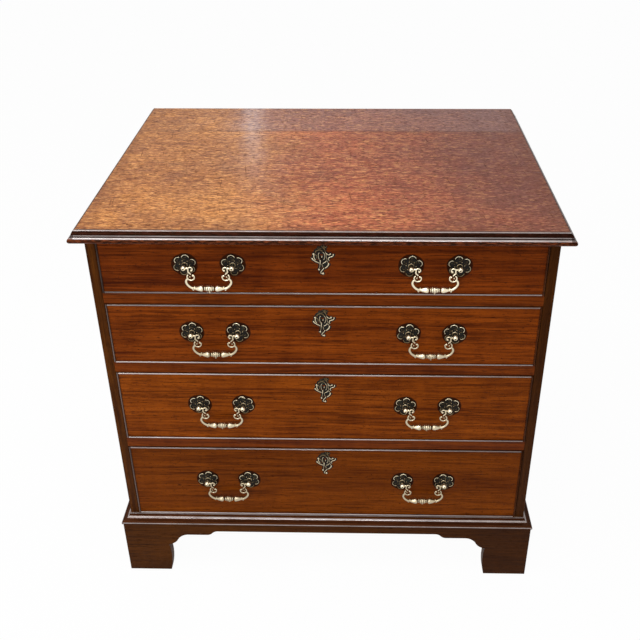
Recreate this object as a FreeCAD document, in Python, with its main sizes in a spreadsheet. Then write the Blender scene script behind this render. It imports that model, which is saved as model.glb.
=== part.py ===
import FreeCAD, Part
import math
import os
from types import SimpleNamespace

import Sketcher

# A Georgian bachelors chest: a mahogany case of four graduated long drawers on a plinth with bracket feet.
# Units are millimetres. +Z is up and the drawers open towards -Y. The origin lies on the floor, midway
# between the two ends of the top and midway between its front and back edges.

DRIVING_SIZES = [
    # the case
    ("case_width", 760, "over the two sides"),
    ("case_depth", 560, "from the front edges of the sides to the back"),
    ("side_thick", 16, "thickness of a side"),
    ("bottom_thick", 16, "thickness of the bottom board"),
    ("back_thick", 10, "thickness of a back board"),
    ("back_rebate", 8, "how far the back boards enter each side"),
    ("rail_thick", 20, "thickness of a rail between drawers"),
    ("rail_depth", 60, "front to back size of a rail"),
    ("rail_shoulder", 10, "front edge of a rail to the front of its housing"),
    ("housing_depth", 6, "how far rails and bottom enter each side"),
    ("runner_width", 24, "width of a drawer runner"),
    ("opening_1", 102, "height of the top drawer's opening"),
    ("opening_2", 122, "height of the second drawer's opening"),
    ("opening_3", 151, "height of the third drawer's opening"),
    ("opening_4", 170, "height of the bottom drawer's opening"),
    # the top and its moulded edge
    ("top_thick", 22, "thickness of the top"),
    ("top_overhang", 20, "how far the top passes the case at the front and ends"),
    ("nose_radius", 5.5, "radius of the half-round nose"),
    ("nose_step", 1, "height of the fillet above the nose"),
    ("nose_ledge", 0.8, "width of the ledge above the nose"),
    ("ovolo_radius", 7, "radius of the ovolo above the ledge"),
    ("quirk_depth", 1.6, "height of the step at the top surface"),
    ("quirk_width", 0.8, "width of the ledge below that step"),
    ("edge_inset", 10.5, "tip of the nose to the edge of the top surface"),
    # the base moulding, the plinth and its feet
    ("mould_height", 16, "height of the base moulding"),
    ("mould_out", 16, "how far the base moulding stands out from the case"),
    ("lip_radius", 3, "radius of its lower lip"),
    ("lip_step", 0.8, "fillet above the lip, high and wide"),
    ("cove_radius", 9, "radius of its hollow"),
    ("astragal_out", 2, "how far its top bead stands out"),
    ("astragal_width", 3, "width of that bead"),
    ("astragal_radius", 1.8, "radius of the rounded face of that bead"),
    ("plinth_height", 127, "floor to the underside of the case"),
    ("plinth_thick", 18, "thickness of a plinth board"),
    ("plinth_out", 14, "how far the plinth stands out from the case"),
    ("foot_width", 82, "width of a bracket foot on the floor"),
    ("foot_bow", 175, "radius of the bowed inner edge of a foot"),
    ("cusp_inset", 84, "end of the board to the cusp of the bracket"),
    ("cusp_height", 71, "floor to the cusp"),
    ("bracket_run", 38, "length of the ogee from the cusp"),
    ("bracket_rise", 27, "height of the ogee"),
    ("ogee_radius", 24, "radius of each half of the ogee"),
    ("flat_run", 40, "length of the flat beside the ogee"),
    ("step_run", 20, "length of the small step up to the apron"),
    ("step_rise", 10, "height of that step"),
    ("step_radius", 14, "radius of each half of that step"),
    ("back_foot_width", 60, "width of a rear bracket on the floor"),
    ("back_bracket_width", 130, "length of a rear bracket"),
    ("back_bracket_strip", 16, "height of a rear bracket at its inner end"),
    ("block_size", 30, "side of a square glue block"),
    ("block_short", 4, "floor to the underside of a glue block"),
    # the drawers
    ("drawer_gap", 1.1, "gap round a drawer front in its opening"),
    ("run_gap", 0.3, "gap between a drawer side and its runner"),
    ("drawer_depth", 520, "front face to back of a drawer"),
    ("front_thick", 20, "thickness of a drawer front"),
    ("lining_thick", 8, "thickness of drawer sides and backs"),
    ("panel_thick", 6, "thickness of a drawer bottom"),
    ("panel_lift", 5, "lower edge of a drawer side to its groove"),
    ("groove_depth", 4, "depth of the grooves for the drawer bottom"),
    ("panel_slack", 0.5, "room for the drawer bottom in its grooves"),
    ("side_drop", 3, "how far the drawer sides lie below the front"),
    ("back_drop", 8, "how far the drawer back lies below the sides"),
    ("lap_thick", 7, "wood left in front of the lapped dovetails"),
    ("tail_pitch", 40, "aimed spacing of the dovetails"),
    ("pin_width", 4, "narrow end of a dovetail pin"),
    ("bead_width", 3, "thickness of a cockbead"),
    ("bead_out", 2.5, "how far a cockbead stands out"),
    ("bead_bevel", 0.9, "bevel along both edges of the nose of a cockbead"),
    ("bead_seat", 6, "how deep a cockbead is let in"),
    ("stop_height", 3.5, "height of a drawer stop"),
    ("stop_length", 40, "length of a drawer stop"),
    ("stop_depth", 12, "front to back size of a drawer stop"),
    ("stop_inset", 90, "inside of the case to a drawer stop"),
    # the locks
    ("lock_width", 64, "width of a lock"),
    ("lock_height", 42, "height of a lock below the cockbead"),
    ("lock_thick", 10, "thickness of a lock"),
    ("bolt_width", 18, "width of a lock bolt"),
    ("bolt_thick", 4, "thickness of a lock bolt"),
    ("bolt_height", 16, "height of a lock bolt"),
    ("bolt_throw", 7, "travel of a lock bolt"),
    ("bolt_play", 0.2, "gap round a bolt in its lock"),
    ("mortise_play", 2, "gap round a bolt in the rail, and above it"),
    ("key_drop", 30, "top of an opening to the keyhole"),
    ("key_radius", 2.6, "radius of the round of the keyhole"),
    ("key_slot", 1.2, "half width of the slot of the keyhole"),
    ("key_length", 8, "centre of the keyhole to the end of its slot"),
    # the brasses
    ("escutcheon_height", 58, "height of an escutcheon"),
    ("escutcheon_thick", 1.4, "thickness of an escutcheon"),
    ("handle_centre", 183, "middle of the chest to the middle of a handle"),
    ("handle_pitch", 78, "distance between the two posts of a handle"),
    ("handle_rise", 5, "middle of the opening to the posts"),
    ("rosette_radius", 20, "middle of a rosette to the tip of a petal"),
    ("rosette_valley", 14.5, "middle of a rosette to the notch between two petals"),
    ("rosette_thick", 2, "thickness of a rosette"),
    ("petal_half", 4.6, "half the width of the blunt tip of a petal"),
    ("shank_size", 4.4, "side of the square shank of a post"),
    ("shank_gap", 0.2, "gap round a shank in the wood and the rosette"),
    ("nut_gap", 0.05, "gap between a shank and its nut"),
    ("shank_end", 2, "how far a shank passes its nut"),
    ("nut_size", 11, "side of a square nut"),
    ("nut_thick", 4, "thickness of a nut"),
    ("knob_radius", 4.6, "middle of a flat of the knob of a post to its axis"),
    ("knob_reach", 5, "axis of the bail to the front of the knob"),
    ("pivot_out", 12, "drawer front to the axis of the bail"),
    ("pin_radius", 1.6, "radius of the pins of a bail"),
    ("pin_gap", 0.08, "running gap between a pin and the flats of its hole"),
    ("pin_past", 1, "how far a pin hole passes the middle of the knob"),
    ("pin_end_play", 0.3, "gap at the end of a pin"),
    ("bail_thick", 4, "front to back size of the necks of a bail"),
    ("bail_drop", 38, "axis of the pins to the axis of the bar"),
    ("hook_radius", 3.9, "mean radius of the hook beside the knob"),
    ("hook_width", 2.6, "width of that hook"),
    ("hook_inset", 10.8, "post to the middle of the hook"),
    ("hook_fall", 1.6, "axis of the pins to the middle of the hook"),
    ("ring_radius", 5.85, "mean radius of the scroll below the hook"),
    ("ring_width", 2.9, "width of that scroll"),
    ("ring_inset", 10.7, "post to the middle of the scroll"),
    ("ring_fall", 16.3, "axis of the pins to the middle of the scroll"),
    ("bend_radius", 11.4, "mean radius of the bend into the bar"),
    ("bend_width", 3.6, "width of that bend"),
    ("bend_inset", 14, "post to the middle of that bend"),
    ("bar_waist", 2.3, "size of the bar beside its middle knop"),
    ("bar_swell", 4.4, "size of the bar at its swell"),
    ("bar_end", 2.1, "size of the bar at its end"),
    ("knop_size", 4, "size of the knop at the middle of the bar"),
    ("knop_half", 3.4, "middle of the bar to the waist"),
    ("swell_at", 13, "middle of the bar to the swell"),
    ("leaf_drop", 5, "how far the small leaves reach below the bar's axis"),
]

SPARE = 2.0  # how far a cutting outline reaches past the face that it cuts
TAIL_SLOPE = 1 / 6  # slope of the dovetails
HOLLOW_SHARE = 0.6  # radius of the hollow of a rear bracket, as a share of its run and rise together
BACK_BOARDS = 4
PETALS = 6
# flats that stand for a curve on the small brasses, of which there are many
KEY_FLATS = 7
KNOB_FLATS = 8
HOOK_FLATS = 4
RING_FLATS = 6
BEND_FLATS = 3
# the scrolls of a bail: where each starts and how far it sweeps anticlockwise, in degrees
HOOK_START, HOOK_SWEEP = -30, 230
BEND_START, BEND_SWEEP = 135, 135
STEM_SIDE = 0.6  # how far the stem reaches to the side of the ring's middle, as a share of the ring's width
STEM_SINK = 0.3  # how deep its corner goes into the ring, as a share of the same width

doc = FreeCAD.newDocument("BachelorsChest")
sheet = doc.addObject("Spreadsheet::Sheet", "Sizes")
for row, (alias, value, note) in enumerate(DRIVING_SIZES, start=1):
    sheet.set(f"A{row}", note)
    sheet.set(f"B{row}", str(value))
    sheet.setAlias(f"B{row}", alias)
doc.recompute()


class Size:
    """A length with its present value and the sheet expression that gives it."""

    def __init__(self, value, text):
        self.value = float(value)
        self.text = text

    def __add__(self, other):
        other = as_size(other)
        return Size(self.value + other.value, f"({self.text} + {other.text})")

    def __sub__(self, other):
        other = as_size(other)
        return Size(self.value - other.value, f"({self.text} - {other.text})")

    def __mul__(self, other):
        other = as_size(other)
        return Size(self.value * other.value, f"({self.text} * {other.text})")

    def __truediv__(self, other):
        other = as_size(other)
        return Size(self.value / other.value, f"({self.text} / {other.text})")

    def __neg__(self):
        return self * -1


def as_size(number):
    """The same length as a Size, whether it came as one or as a plain number."""
    return number if isinstance(number, Size) else Size(number, f"({float(number)!r})")


size = SimpleNamespace(**{alias: Size(sheet.get(alias), f"Sizes.{alias}") for alias, _, _ in DRIVING_SIZES})

half_width = size.case_width / 2
half_inside = half_width - size.side_thick
case_front = (size.top_overhang - size.case_depth) / 2
opening = {1: size.opening_1, 2: size.opening_2, 3: size.opening_3, 4: size.opening_4}
drawer_floor = {4: size.plinth_height + size.bottom_thick}
for number in (3, 2, 1):
    drawer_floor[number] = drawer_floor[number + 1] + opening[number + 1] + size.rail_thick
case_top = drawer_floor[1] + size.opening_1
side_height = case_top - size.plinth_height
bolt_depth = size.front_thick - size.lock_thick / 2

sub_parts = []
cuts = []


# ---- document helpers ----


def bind(thing, path, length):
    """Tie one property of an object to its expression of the sheet."""
    thing.setExpression(path, as_size(length).text)


def place(thing, x=0, y=0, z=0):
    """Tie the position of an object to the sheet."""
    for axis, length in (("x", x), ("y", y), ("z", z)):
        bind(thing, f"Placement.Base.{axis}", length)


def keep(piece):
    """Put a finished object on the list of sub-parts, each of which becomes one file."""
    piece.Label = piece.Name
    sub_parts.append(piece)
    return piece


def new_body(name):
    """An empty PartDesign body."""
    return doc.addObject("PartDesign::Body", name)


def board(name, corner, lengths):
    """A plain rectangular board from its lowest corner and its three lengths."""
    piece = doc.addObject("Part::Box", name)
    for path, length in zip(("Length", "Width", "Height"), lengths):
        bind(piece, path, length)
    place(piece, *corner)
    return piece


def group(name, members):
    """One sub-part that holds several separate solids."""
    piece = doc.addObject("Part::Compound", name)
    piece.Links = members
    return keep(piece)


# ---- sketch helpers ----


def origin_plane(body, role):
    """One of the body's own origin planes."""
    return next(feature for feature in body.Origin.OriginFeatures if feature.Role == role)


def sketch_on(body, role, name, offset=0):
    """A sketch on one of the body's own origin planes, moved along the plane's normal by the offset."""
    sketch = body.newObject("Sketcher::SketchObject", f"{body.Name}_{name}")
    sketch.AttachmentSupport = [(origin_plane(body, role), "")]
    sketch.MapMode = "FlatFace"
    bind(sketch, "AttachmentOffset.Base.z", offset)
    return sketch


def fix(sketch, kind, where, length):
    """Add one dimension to a sketch and tie it to the sheet."""
    length = as_size(length)
    index = sketch.addConstraint(Sketcher.Constraint(kind, *where, length.value))
    sketch.setExpression(f"Constraints[{index}]", length.text)


def arc_between(start, finish, radius, side, long_way):
    """The arc that leaves start, bulges to the left (side 1) or right (side -1) and ends at finish."""
    chord = finish - start
    to_left = FreeCAD.Vector(-chord.y, chord.x, 0).normalize()
    reach = math.sqrt(max(radius**2 - (chord.Length / 2) ** 2, 0))
    centre = (start + finish) / 2 + to_left * (reach * side * (1 if long_way else -1))
    first, last = (finish, start) if side > 0 else (start, finish)
    begin = math.atan2(first.y - centre.y, first.x - centre.x)
    end = math.atan2(last.y - centre.y, last.x - centre.x)
    if end < begin:
        end += 2 * math.pi
    return Part.ArcOfCircle(Part.Circle(centre, FreeCAD.Vector(0, 0, 1), radius), begin, end)


def draw(sketch, corners):
    """Draw a closed outline of corners (x, y); one that an arc leaves is (x, y, radius, side, long_way)."""
    base = sketch.GeometryCount
    points = [[as_size(c[0]), as_size(c[1])] for c in corners]
    starts = []
    for index, corner in enumerate(corners):
        here, after = points[index], points[(index + 1) % len(points)]
        start = FreeCAD.Vector(here[0].value, here[1].value, 0)
        finish = FreeCAD.Vector(after[0].value, after[1].value, 0)
        if len(corner) == 2:
            sketch.addGeometry(Part.LineSegment(start, finish), False)
            starts.append(1)
        else:
            _, _, radius, side, long_way = corner
            arc = arc_between(start, finish, as_size(radius).value, side, long_way)
            sketch.addGeometry(arc, False)
            starts.append(2 if side > 0 else 1)
    for index, corner in enumerate(corners):
        following = (index + 1) % len(corners)
        ends = (base + index, 3 - starts[index], base + following, starts[following])
        sketch.addConstraint(Sketcher.Constraint("Coincident", *ends))
        fix(sketch, "DistanceX", (-1, 1, base + index, starts[index]), points[index][0])
        fix(sketch, "DistanceY", (-1, 1, base + index, starts[index]), points[index][1])
        if len(corner) > 2:
            fix(sketch, "Radius", (base + index,), corner[2])


def draw_rectangle(sketch, low_x, low_y, high_x, high_y):
    """Draw a rectangle from its low and high corners."""
    draw(sketch, [(low_x, low_y), (high_x, low_y), (high_x, high_y), (low_x, high_y)])


def draw_square(sketch, x, y, reach):
    """Draw a square from its centre and the distance to the middle of its sides."""
    draw_rectangle(sketch, x - reach, y - reach, x + reach, y + reach)


def flats(x, y, radius, start, sweep, count):
    """Corners of a run of flats round a centre, from one angle on anticlockwise, in degrees."""
    corners = []
    for index in range(count + 1):
        angle = math.radians(start + sweep * index / count)
        corners.append((x + radius * math.cos(angle), y + radius * math.sin(angle)))
    return corners


def draw_circle(sketch, x, y, radius):
    """Draw a circle round a centre."""
    centre = FreeCAD.Vector(as_size(x).value, as_size(y).value, 0)
    circle = Part.Circle(centre, FreeCAD.Vector(0, 0, 1), as_size(radius).value)
    index = sketch.addGeometry(circle, False)
    fix(sketch, "DistanceX", (-1, 1, index, 3), x)
    fix(sketch, "DistanceY", (-1, 1, index, 3), y)
    fix(sketch, "Radius", (index,), radius)


def draw_octagon(sketch, x, y, reach):
    """Draw an octagon from its centre and the distance to the middle of its flats."""
    half_flat = math.pi / KNOB_FLATS
    corner = as_size(reach) / math.cos(half_flat)
    draw(sketch, flats(x, y, corner, math.degrees(half_flat), 360, KNOB_FLATS)[:-1])


def draw_band(sketch, x, y, radius, width, start, sweep, count):
    """Draw a stretch of a flat ring in straight flats, from one angle on anticlockwise, in degrees."""
    outer = flats(x, y, radius + width / 2, start, sweep, count)
    inner = flats(x, y, radius - width / 2, start, sweep, count)
    draw(sketch, outer + inner[::-1])


# ---- feature helpers ----


def pad(body, sketch, length, side="One side", backwards=False):
    """Add material along the sketch's normal, or against it where backwards."""
    feature = body.newObject("PartDesign::Pad", f"{sketch.Name}_pad")
    feature.Profile = sketch
    bind(feature, "Length", length)
    feature.SideType = side
    feature.Reversed = backwards
    return feature


def pocket(body, sketch, length=None, along_normal=False):
    """Cut against the sketch's normal, or along it, to a depth; with no depth, right through both ways."""
    feature = body.newObject("PartDesign::Pocket", f"{sketch.Name}_pocket")
    feature.Profile = sketch
    feature.Reversed = along_normal
    if length is None:
        feature.SideType = "Symmetric"
        feature.Type = "ThroughAll"
    else:
        bind(feature, "Length", length)
    cuts.append(feature)
    return feature


# ---- the case ----


def case_side(name, hand):
    """A side of the case, from its inner face outwards, housed for the rails, the bottom and the back."""
    body = new_body(name)
    face = sketch_on(body, "YZ_Plane", "face")
    draw_rectangle(face, 0, 0, size.case_depth, side_height)
    pad(body, face, size.side_thick, backwards=hand < 0)
    inside_back = size.case_depth - size.back_thick
    housings = sketch_on(body, "YZ_Plane", "housings")
    draw_rectangle(housings, -SPARE, -SPARE, inside_back, size.bottom_thick)
    for number in (1, 2, 3):
        upper = drawer_floor[number] - size.plinth_height
        draw_rectangle(housings, size.rail_shoulder, upper - size.rail_thick, size.rail_depth, upper)
    pocket(body, housings, size.housing_depth, along_normal=hand > 0)
    rebate = sketch_on(body, "YZ_Plane", "rebate")
    draw_rectangle(rebate, inside_back, -SPARE, size.case_depth + SPARE, side_height + SPARE)
    pocket(body, rebate, size.back_rebate, along_normal=hand > 0)
    place(body, half_inside * hand, case_front, size.plinth_height)
    return keep(body)


def draw_mortise(sketch, front):
    """Outline of the hole that a lock bolt enters, behind the given front edge."""
    across = size.bolt_width / 2 + size.mortise_play
    middle = front + bolt_depth
    reach = size.bolt_thick / 2 + size.mortise_play
    draw_rectangle(sketch, -across, middle - reach, across, middle + reach)


def rail(number):
    """The rail under drawer number, tongued into both sides and mortised for the lock bolt below it."""
    body = new_body(f"rail_{number}")
    tongue = half_inside + size.housing_depth
    plan = sketch_on(body, "XY_Plane", "plan")
    corners = [
        (-half_inside, 0),
        (half_inside, 0),
        (half_inside, size.rail_shoulder),
        (tongue, size.rail_shoulder),
        (tongue, size.rail_depth),
        (-tongue, size.rail_depth),
        (-tongue, size.rail_shoulder),
        (-half_inside, size.rail_shoulder),
    ]
    draw(plan, corners)
    pad(body, plan, size.rail_thick)
    mortise = sketch_on(body, "XY_Plane", "mortise")
    draw_mortise(mortise, as_size(0))
    pocket(body, mortise, size.bolt_throw + size.mortise_play, along_normal=True)
    place(body, 0, case_front, drawer_floor[number] - size.rail_thick)
    return body


def runner(number, hand):
    """The strip on one side of the case that carries a drawer behind its rail."""
    low_x = half_inside - size.runner_width if hand > 0 else -half_inside
    corner = (low_x, case_front + size.rail_depth, drawer_floor[number] - size.rail_thick)
    run = size.case_depth - size.back_thick - size.rail_depth
    name = f"runner_{number}_{'right' if hand > 0 else 'left'}"
    return board(name, corner, (size.runner_width, run, size.rail_thick))


def drawer_stop(number, hand):
    """A small block that the inner face of a drawer front meets when the drawer is shut."""
    low_x = half_inside - size.stop_inset - size.stop_length if hand > 0 else size.stop_inset - half_inside
    corner = (low_x, case_front + size.front_thick, drawer_floor[number])
    name = f"stop_{number}_{'right' if hand > 0 else 'left'}"
    return board(name, corner, (size.stop_length, size.stop_depth, size.stop_height))


def back_board(index, count):
    """One of the upright boards of the back, edge to edge between the rebates."""
    width = (half_inside + size.back_rebate) * 2 / count
    low_x = width * (index - count / 2)
    corner = (low_x, case_front + size.case_depth - size.back_thick, size.plinth_height)
    return board(f"back_board_{index + 1}", corner, (width, size.back_thick, side_height))


def draw_edge_waste(sketch, tip, outward):
    """What is cut away outside the moulded edge of the top: quirk, ovolo, fillet and half-round nose."""

    def at(inset, height, *arc):
        return (as_size(tip) - as_size(inset) * outward, height, *arc)

    nose = size.nose_radius
    quirk = size.top_thick - size.quirk_depth
    corners = [
        at(size.edge_inset, size.top_thick + SPARE),
        at(size.edge_inset, quirk),
        at(size.edge_inset - size.quirk_width, quirk, size.ovolo_radius, outward, False),
        at(nose + size.nose_ledge, nose * 2 + size.nose_step),
        at(nose, nose * 2 + size.nose_step),
        at(nose, nose * 2, nose, outward, False),
        at(0, nose, nose, outward, False),
        at(nose, 0),
        at(nose, -SPARE),
        at(-SPARE, -SPARE),
        at(-SPARE, size.top_thick + SPARE),
    ]
    draw(sketch, corners)


def top_board():
    """The top, moulded along its front and both ends and mortised for the bolt of the top drawer."""
    body = new_body("top_board")
    half_top = half_width + size.top_overhang
    plan = sketch_on(body, "XY_Plane", "plan")
    draw_rectangle(plan, -half_top, 0, half_top, size.case_depth + size.top_overhang)
    pad(body, plan, size.top_thick)
    ends = sketch_on(body, "XZ_Plane", "ends")
    draw_edge_waste(ends, half_top, 1)
    draw_edge_waste(ends, -half_top, -1)
    pocket(body, ends)
    front = sketch_on(body, "YZ_Plane", "front")
    draw_edge_waste(front, 0, -1)
    pocket(body, front)
    mortise = sketch_on(body, "XY_Plane", "mortise")
    draw_mortise(mortise, size.top_overhang)
    pocket(body, mortise, size.bolt_throw + size.mortise_play, along_normal=True)
    place(body, 0, case_front - size.top_overhang, case_top)
    return keep(body)


# ---- base moulding, plinth and feet ----


def draw_moulding(sketch, inner, outward):
    """Section of the base moulding: lip, fillet, cove and astragal, standing out from the inner line."""

    def at(out, height, *arc):
        return (as_size(inner) + as_size(out) * outward, height, *arc)

    lip = size.lip_radius
    shelf = size.mould_out - lip
    low_bead = size.mould_height - size.astragal_width
    corners = [
        at(0, 0),
        at(size.mould_out, 0),
        at(size.mould_out, lip, lip, -outward, False),
        at(shelf, lip * 2),
        at(shelf, lip * 2 + size.lip_step),
        at(shelf - size.lip_step, lip * 2 + size.lip_step, size.cove_radius, outward, False),
        at(size.astragal_out, low_bead, size.astragal_radius, -outward, False),
        at(size.astragal_out, size.mould_height),
        at(0, size.mould_height),
    ]
    draw(sketch, corners)


def mitre_front(body, reach):
    """Cut both ends of a front piece along the mitre lines that start at the corners of the case."""
    lines = sketch_on(body, "XY_Plane", "mitres")
    inside = as_size(size.plinth_thick)
    outside = as_size(reach) + SPARE
    for hand in (1, -1):
        inner_end = (half_width - inside) * hand
        outer_end = (half_width + outside) * hand
        draw(lines, [(inner_end, inside), (outer_end, -outside), (outer_end, inside)])
    pocket(body, lines)


def mitre_end(body, hand, reach):
    """Cut the front end of a side piece along the mitre line that starts at the corner of the case."""
    lines = sketch_on(body, "XY_Plane", "mitre")
    inside = as_size(size.plinth_thick)
    outside = as_size(reach) + SPARE
    inner_end = (half_width - inside) * hand
    outer_end = (half_width + outside) * hand
    draw(lines, [(inner_end, inside), (outer_end, -outside), (inner_end, -outside)])
    pocket(body, lines)


def base_moulding_front():
    """The front length of the base moulding, mitred at both ends."""
    body = new_body("base_moulding_front")
    section = sketch_on(body, "YZ_Plane", "section")
    draw_moulding(section, 0, -1)
    pad(body, section, size.case_width + size.mould_out * 2, side="Symmetric")
    mitre_front(body, size.mould_out)
    place(body, 0, case_front, size.plinth_height)
    return keep(body)


def base_moulding_end(name, hand):
    """The length of base moulding along one end of the case, mitred at the front."""
    body = new_body(name)
    section = sketch_on(body, "XZ_Plane", "section", size.mould_out)
    draw_moulding(section, half_width * hand, hand)
    pad(body, section, size.case_depth + size.mould_out, backwards=True)
    mitre_end(body, hand, size.mould_out)
    place(body, 0, case_front, size.plinth_height)
    return keep(body)


def plinth_corners(low_end, high_end):
    """Outline of a plinth board: a bracket foot at each end and the apron between them, cut in one."""
    ogee = size.ogee_radius
    step = size.step_radius
    flat_start = size.cusp_inset + size.bracket_run
    flat_height = size.cusp_height + size.bracket_rise
    step_start = flat_start + size.flat_run
    ogee_middle = (size.cusp_inset + size.bracket_run / 2, size.cusp_height + size.bracket_rise / 2)
    step_middle = (step_start + size.step_run / 2, flat_height + size.step_rise / 2)
    # inset from the end of the board, height, and the arc that leads on towards the middle of the board
    bracket = [
        (size.foot_width, 0, (size.foot_bow, -1)),
        (size.cusp_inset, size.cusp_height, (ogee, -1)),
        (*ogee_middle, (ogee, 1)),
        (flat_start, flat_height, ()),
        (step_start, flat_height, (step, -1)),
        (*step_middle, (step, 1)),
        (step_start + size.step_run, flat_height + size.step_rise, ()),
    ]
    corners = [(high_end, 0), (high_end, size.plinth_height), (low_end, size.plinth_height), (low_end, 0)]
    for inset, height, arc in bracket:
        corners.append((low_end + inset, height, *arc, *[False] * bool(arc)))
    arcs_back = [()] + [arc for _, _, arc in bracket[:-1]]
    for (inset, height, _), arc in zip(bracket[::-1], arcs_back[::-1]):
        corners.append((high_end - inset, height, *arc, *[False] * bool(arc)))
    return corners


def plinth_front():
    """The front plinth board with its two bracket feet, mitred at both ends."""
    body = new_body("plinth_front")
    outer = half_width + size.plinth_out
    face = sketch_on(body, "XZ_Plane", "face", size.plinth_out)
    draw(face, plinth_corners(-outer, outer))
    pad(body, face, size.plinth_thick, backwards=True)
    mitre_front(body, size.plinth_out)
    place(body, 0, case_front, 0)
    return keep(body)


def plinth_end(name, hand):
    """The plinth board of one end with its two bracket feet, mitred at the front."""
    body = new_body(name)
    outer = (half_width + size.plinth_out) * hand
    face = sketch_on(body, "YZ_Plane", "face", outer)
    draw(face, plinth_corners(-size.plinth_out, size.case_depth))
    pad(body, face, size.plinth_thick, backwards=hand > 0)
    mitre_end(body, hand, size.plinth_out)
    place(body, 0, case_front, 0)
    return keep(body)


plinth_inside = half_width + size.plinth_out - size.plinth_thick


def back_bracket(hand):
    """The plain bracket behind a rear foot, with a hollow inner edge."""
    body = new_body(f"back_bracket_{'right' if hand > 0 else 'left'}")
    face = sketch_on(body, "XZ_Plane", "face")
    strip = size.plinth_height - size.back_bracket_strip
    run = size.back_bracket_width - size.back_foot_width

    def at(inset, height, *arc):
        return ((plinth_inside - as_size(inset)) * hand, height, *arc)

    hollow = (run + strip) * HOLLOW_SHARE
    corners = [
        at(0, 0),
        at(0, size.plinth_height),
        at(size.back_bracket_width, size.plinth_height),
        at(size.back_bracket_width, strip, hollow, hand, False),
        at(size.back_foot_width, 0),
    ]
    draw(face, corners)
    pad(body, face, size.plinth_thick)
    place(body, 0, case_front + size.case_depth, 0)
    return body


def foot_block(hand, rear):
    """A glue block in the inner corner of one foot."""
    low_x = plinth_inside - size.block_size if hand > 0 else -plinth_inside
    front_gap = size.plinth_thick - size.plinth_out
    back_gap = size.case_depth - size.plinth_thick - size.block_size
    low_y = case_front + (back_gap if rear else front_gap)
    name = f"block_{'rear' if rear else 'front'}_{'right' if hand > 0 else 'left'}"
    lengths = (size.block_size, size.block_size, size.plinth_height - size.block_short)
    return board(name, (low_x, low_y, size.block_short), lengths)


# ---- the drawers ----

half_drawer = half_inside - size.drawer_gap
groove_low = size.run_gap + size.panel_lift
back_low = groove_low + size.panel_thick
front_reach = size.front_thick - size.lap_thick


def dovetails(low, high, near_pins, count):
    """Edges of the pins from low to high, for count tails: half pins at both ends, whole ones between."""
    pitch = (high - low) / count
    edges = []
    for index in range(count + 1):
        middle = low + pitch * index
        below = as_size(0) if index == 0 else near_pins / 2
        above = as_size(0) if index == count else near_pins / 2
        edges.append((middle - below, middle + above, index > 0, index < count))
    return edges


def pin_outlines(low, high, narrow_at, wide_at, flare, count):
    """Corners of each pin in the plane of a drawer side: narrow end low, wide end low and high, narrow end high."""
    outlines = []
    for lower, upper, flares_down, flares_up in dovetails(low, high, size.pin_width, count):
        half_pin = size.pin_width / 2
        narrow_low = lower if flares_up else upper - half_pin
        narrow_high = upper if flares_down else lower + half_pin
        wide_low = narrow_low - flare if flares_down else narrow_low
        wide_high = narrow_high + flare if flares_up else narrow_high
        wide_side = [(wide_at, wide_low), (wide_at, wide_high)]
        outlines.append([(narrow_at, narrow_low), *wide_side, (narrow_at, narrow_high)])
    return outlines


def tail_outlines(low, high, narrow_at, wide_at, flare, count):
    """Corners of each tail: the space between two neighbouring pins."""
    pins = pin_outlines(low, high, narrow_at, wide_at, flare, count)
    outlines = []
    for below, above in zip(pins, pins[1:]):
        outlines.append([below[3], below[2], above[1], above[0]])
    return outlines


def tail_count(height):
    """How many dovetails a board of this height gets."""
    return max(2, round(height.value / size.tail_pitch.value))


def drawer_heights(number):
    """Top of the wood of the front, top of the sides and top of the back of one drawer."""
    wood_top = opening[number] - size.drawer_gap - size.bead_width
    side_top = wood_top - size.side_drop
    return wood_top, side_top, side_top - size.back_drop


def front_tails(number):
    """Outlines of the lapped dovetails of one drawer."""
    _, side_top, _ = drawer_heights(number)
    flare = front_reach * TAIL_SLOPE
    low = size.drawer_gap + size.bead_width + size.panel_slack
    return tail_outlines(low, side_top, size.lap_thick, size.front_thick, flare, tail_count(side_top))


def back_pins(number):
    """Outlines of the through dovetail pins at the back of one drawer."""
    _, side_top, back_top = drawer_heights(number)
    inner = size.drawer_depth - size.lining_thick
    flare = size.lining_thick * TAIL_SLOPE
    return pin_outlines(back_low, back_top, size.drawer_depth, inner, flare, tail_count(side_top))


def draw_keyhole(sketch, height):
    """A keyhole: a round with a slot below it, the round drawn in flats."""
    slot_end = height - size.key_length
    mouth = math.degrees(math.asin(size.key_slot.value / size.key_radius.value))
    round_part = flats(as_size(0), height, size.key_radius, mouth - 90, 360 - mouth * 2, KEY_FLATS)
    draw(sketch, [(-size.key_slot, slot_end), (size.key_slot, slot_end)] + round_part)


def key_height(number):
    """Floor of an opening to the middle of its keyhole."""
    return opening[number] - size.key_drop


def post_height(number):
    """Floor of an opening to the posts of its handles."""
    return opening[number] / 2 + size.handle_rise


def post_places():
    """Distance of each post from the middle of the chest, with the side of it that its handle lies on."""
    reach = size.handle_pitch / 2
    places = []
    for hand in (-1, 1):
        places.append((size.handle_centre * hand - reach, 1))
        places.append((size.handle_centre * hand + reach, -1))
    return places


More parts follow.
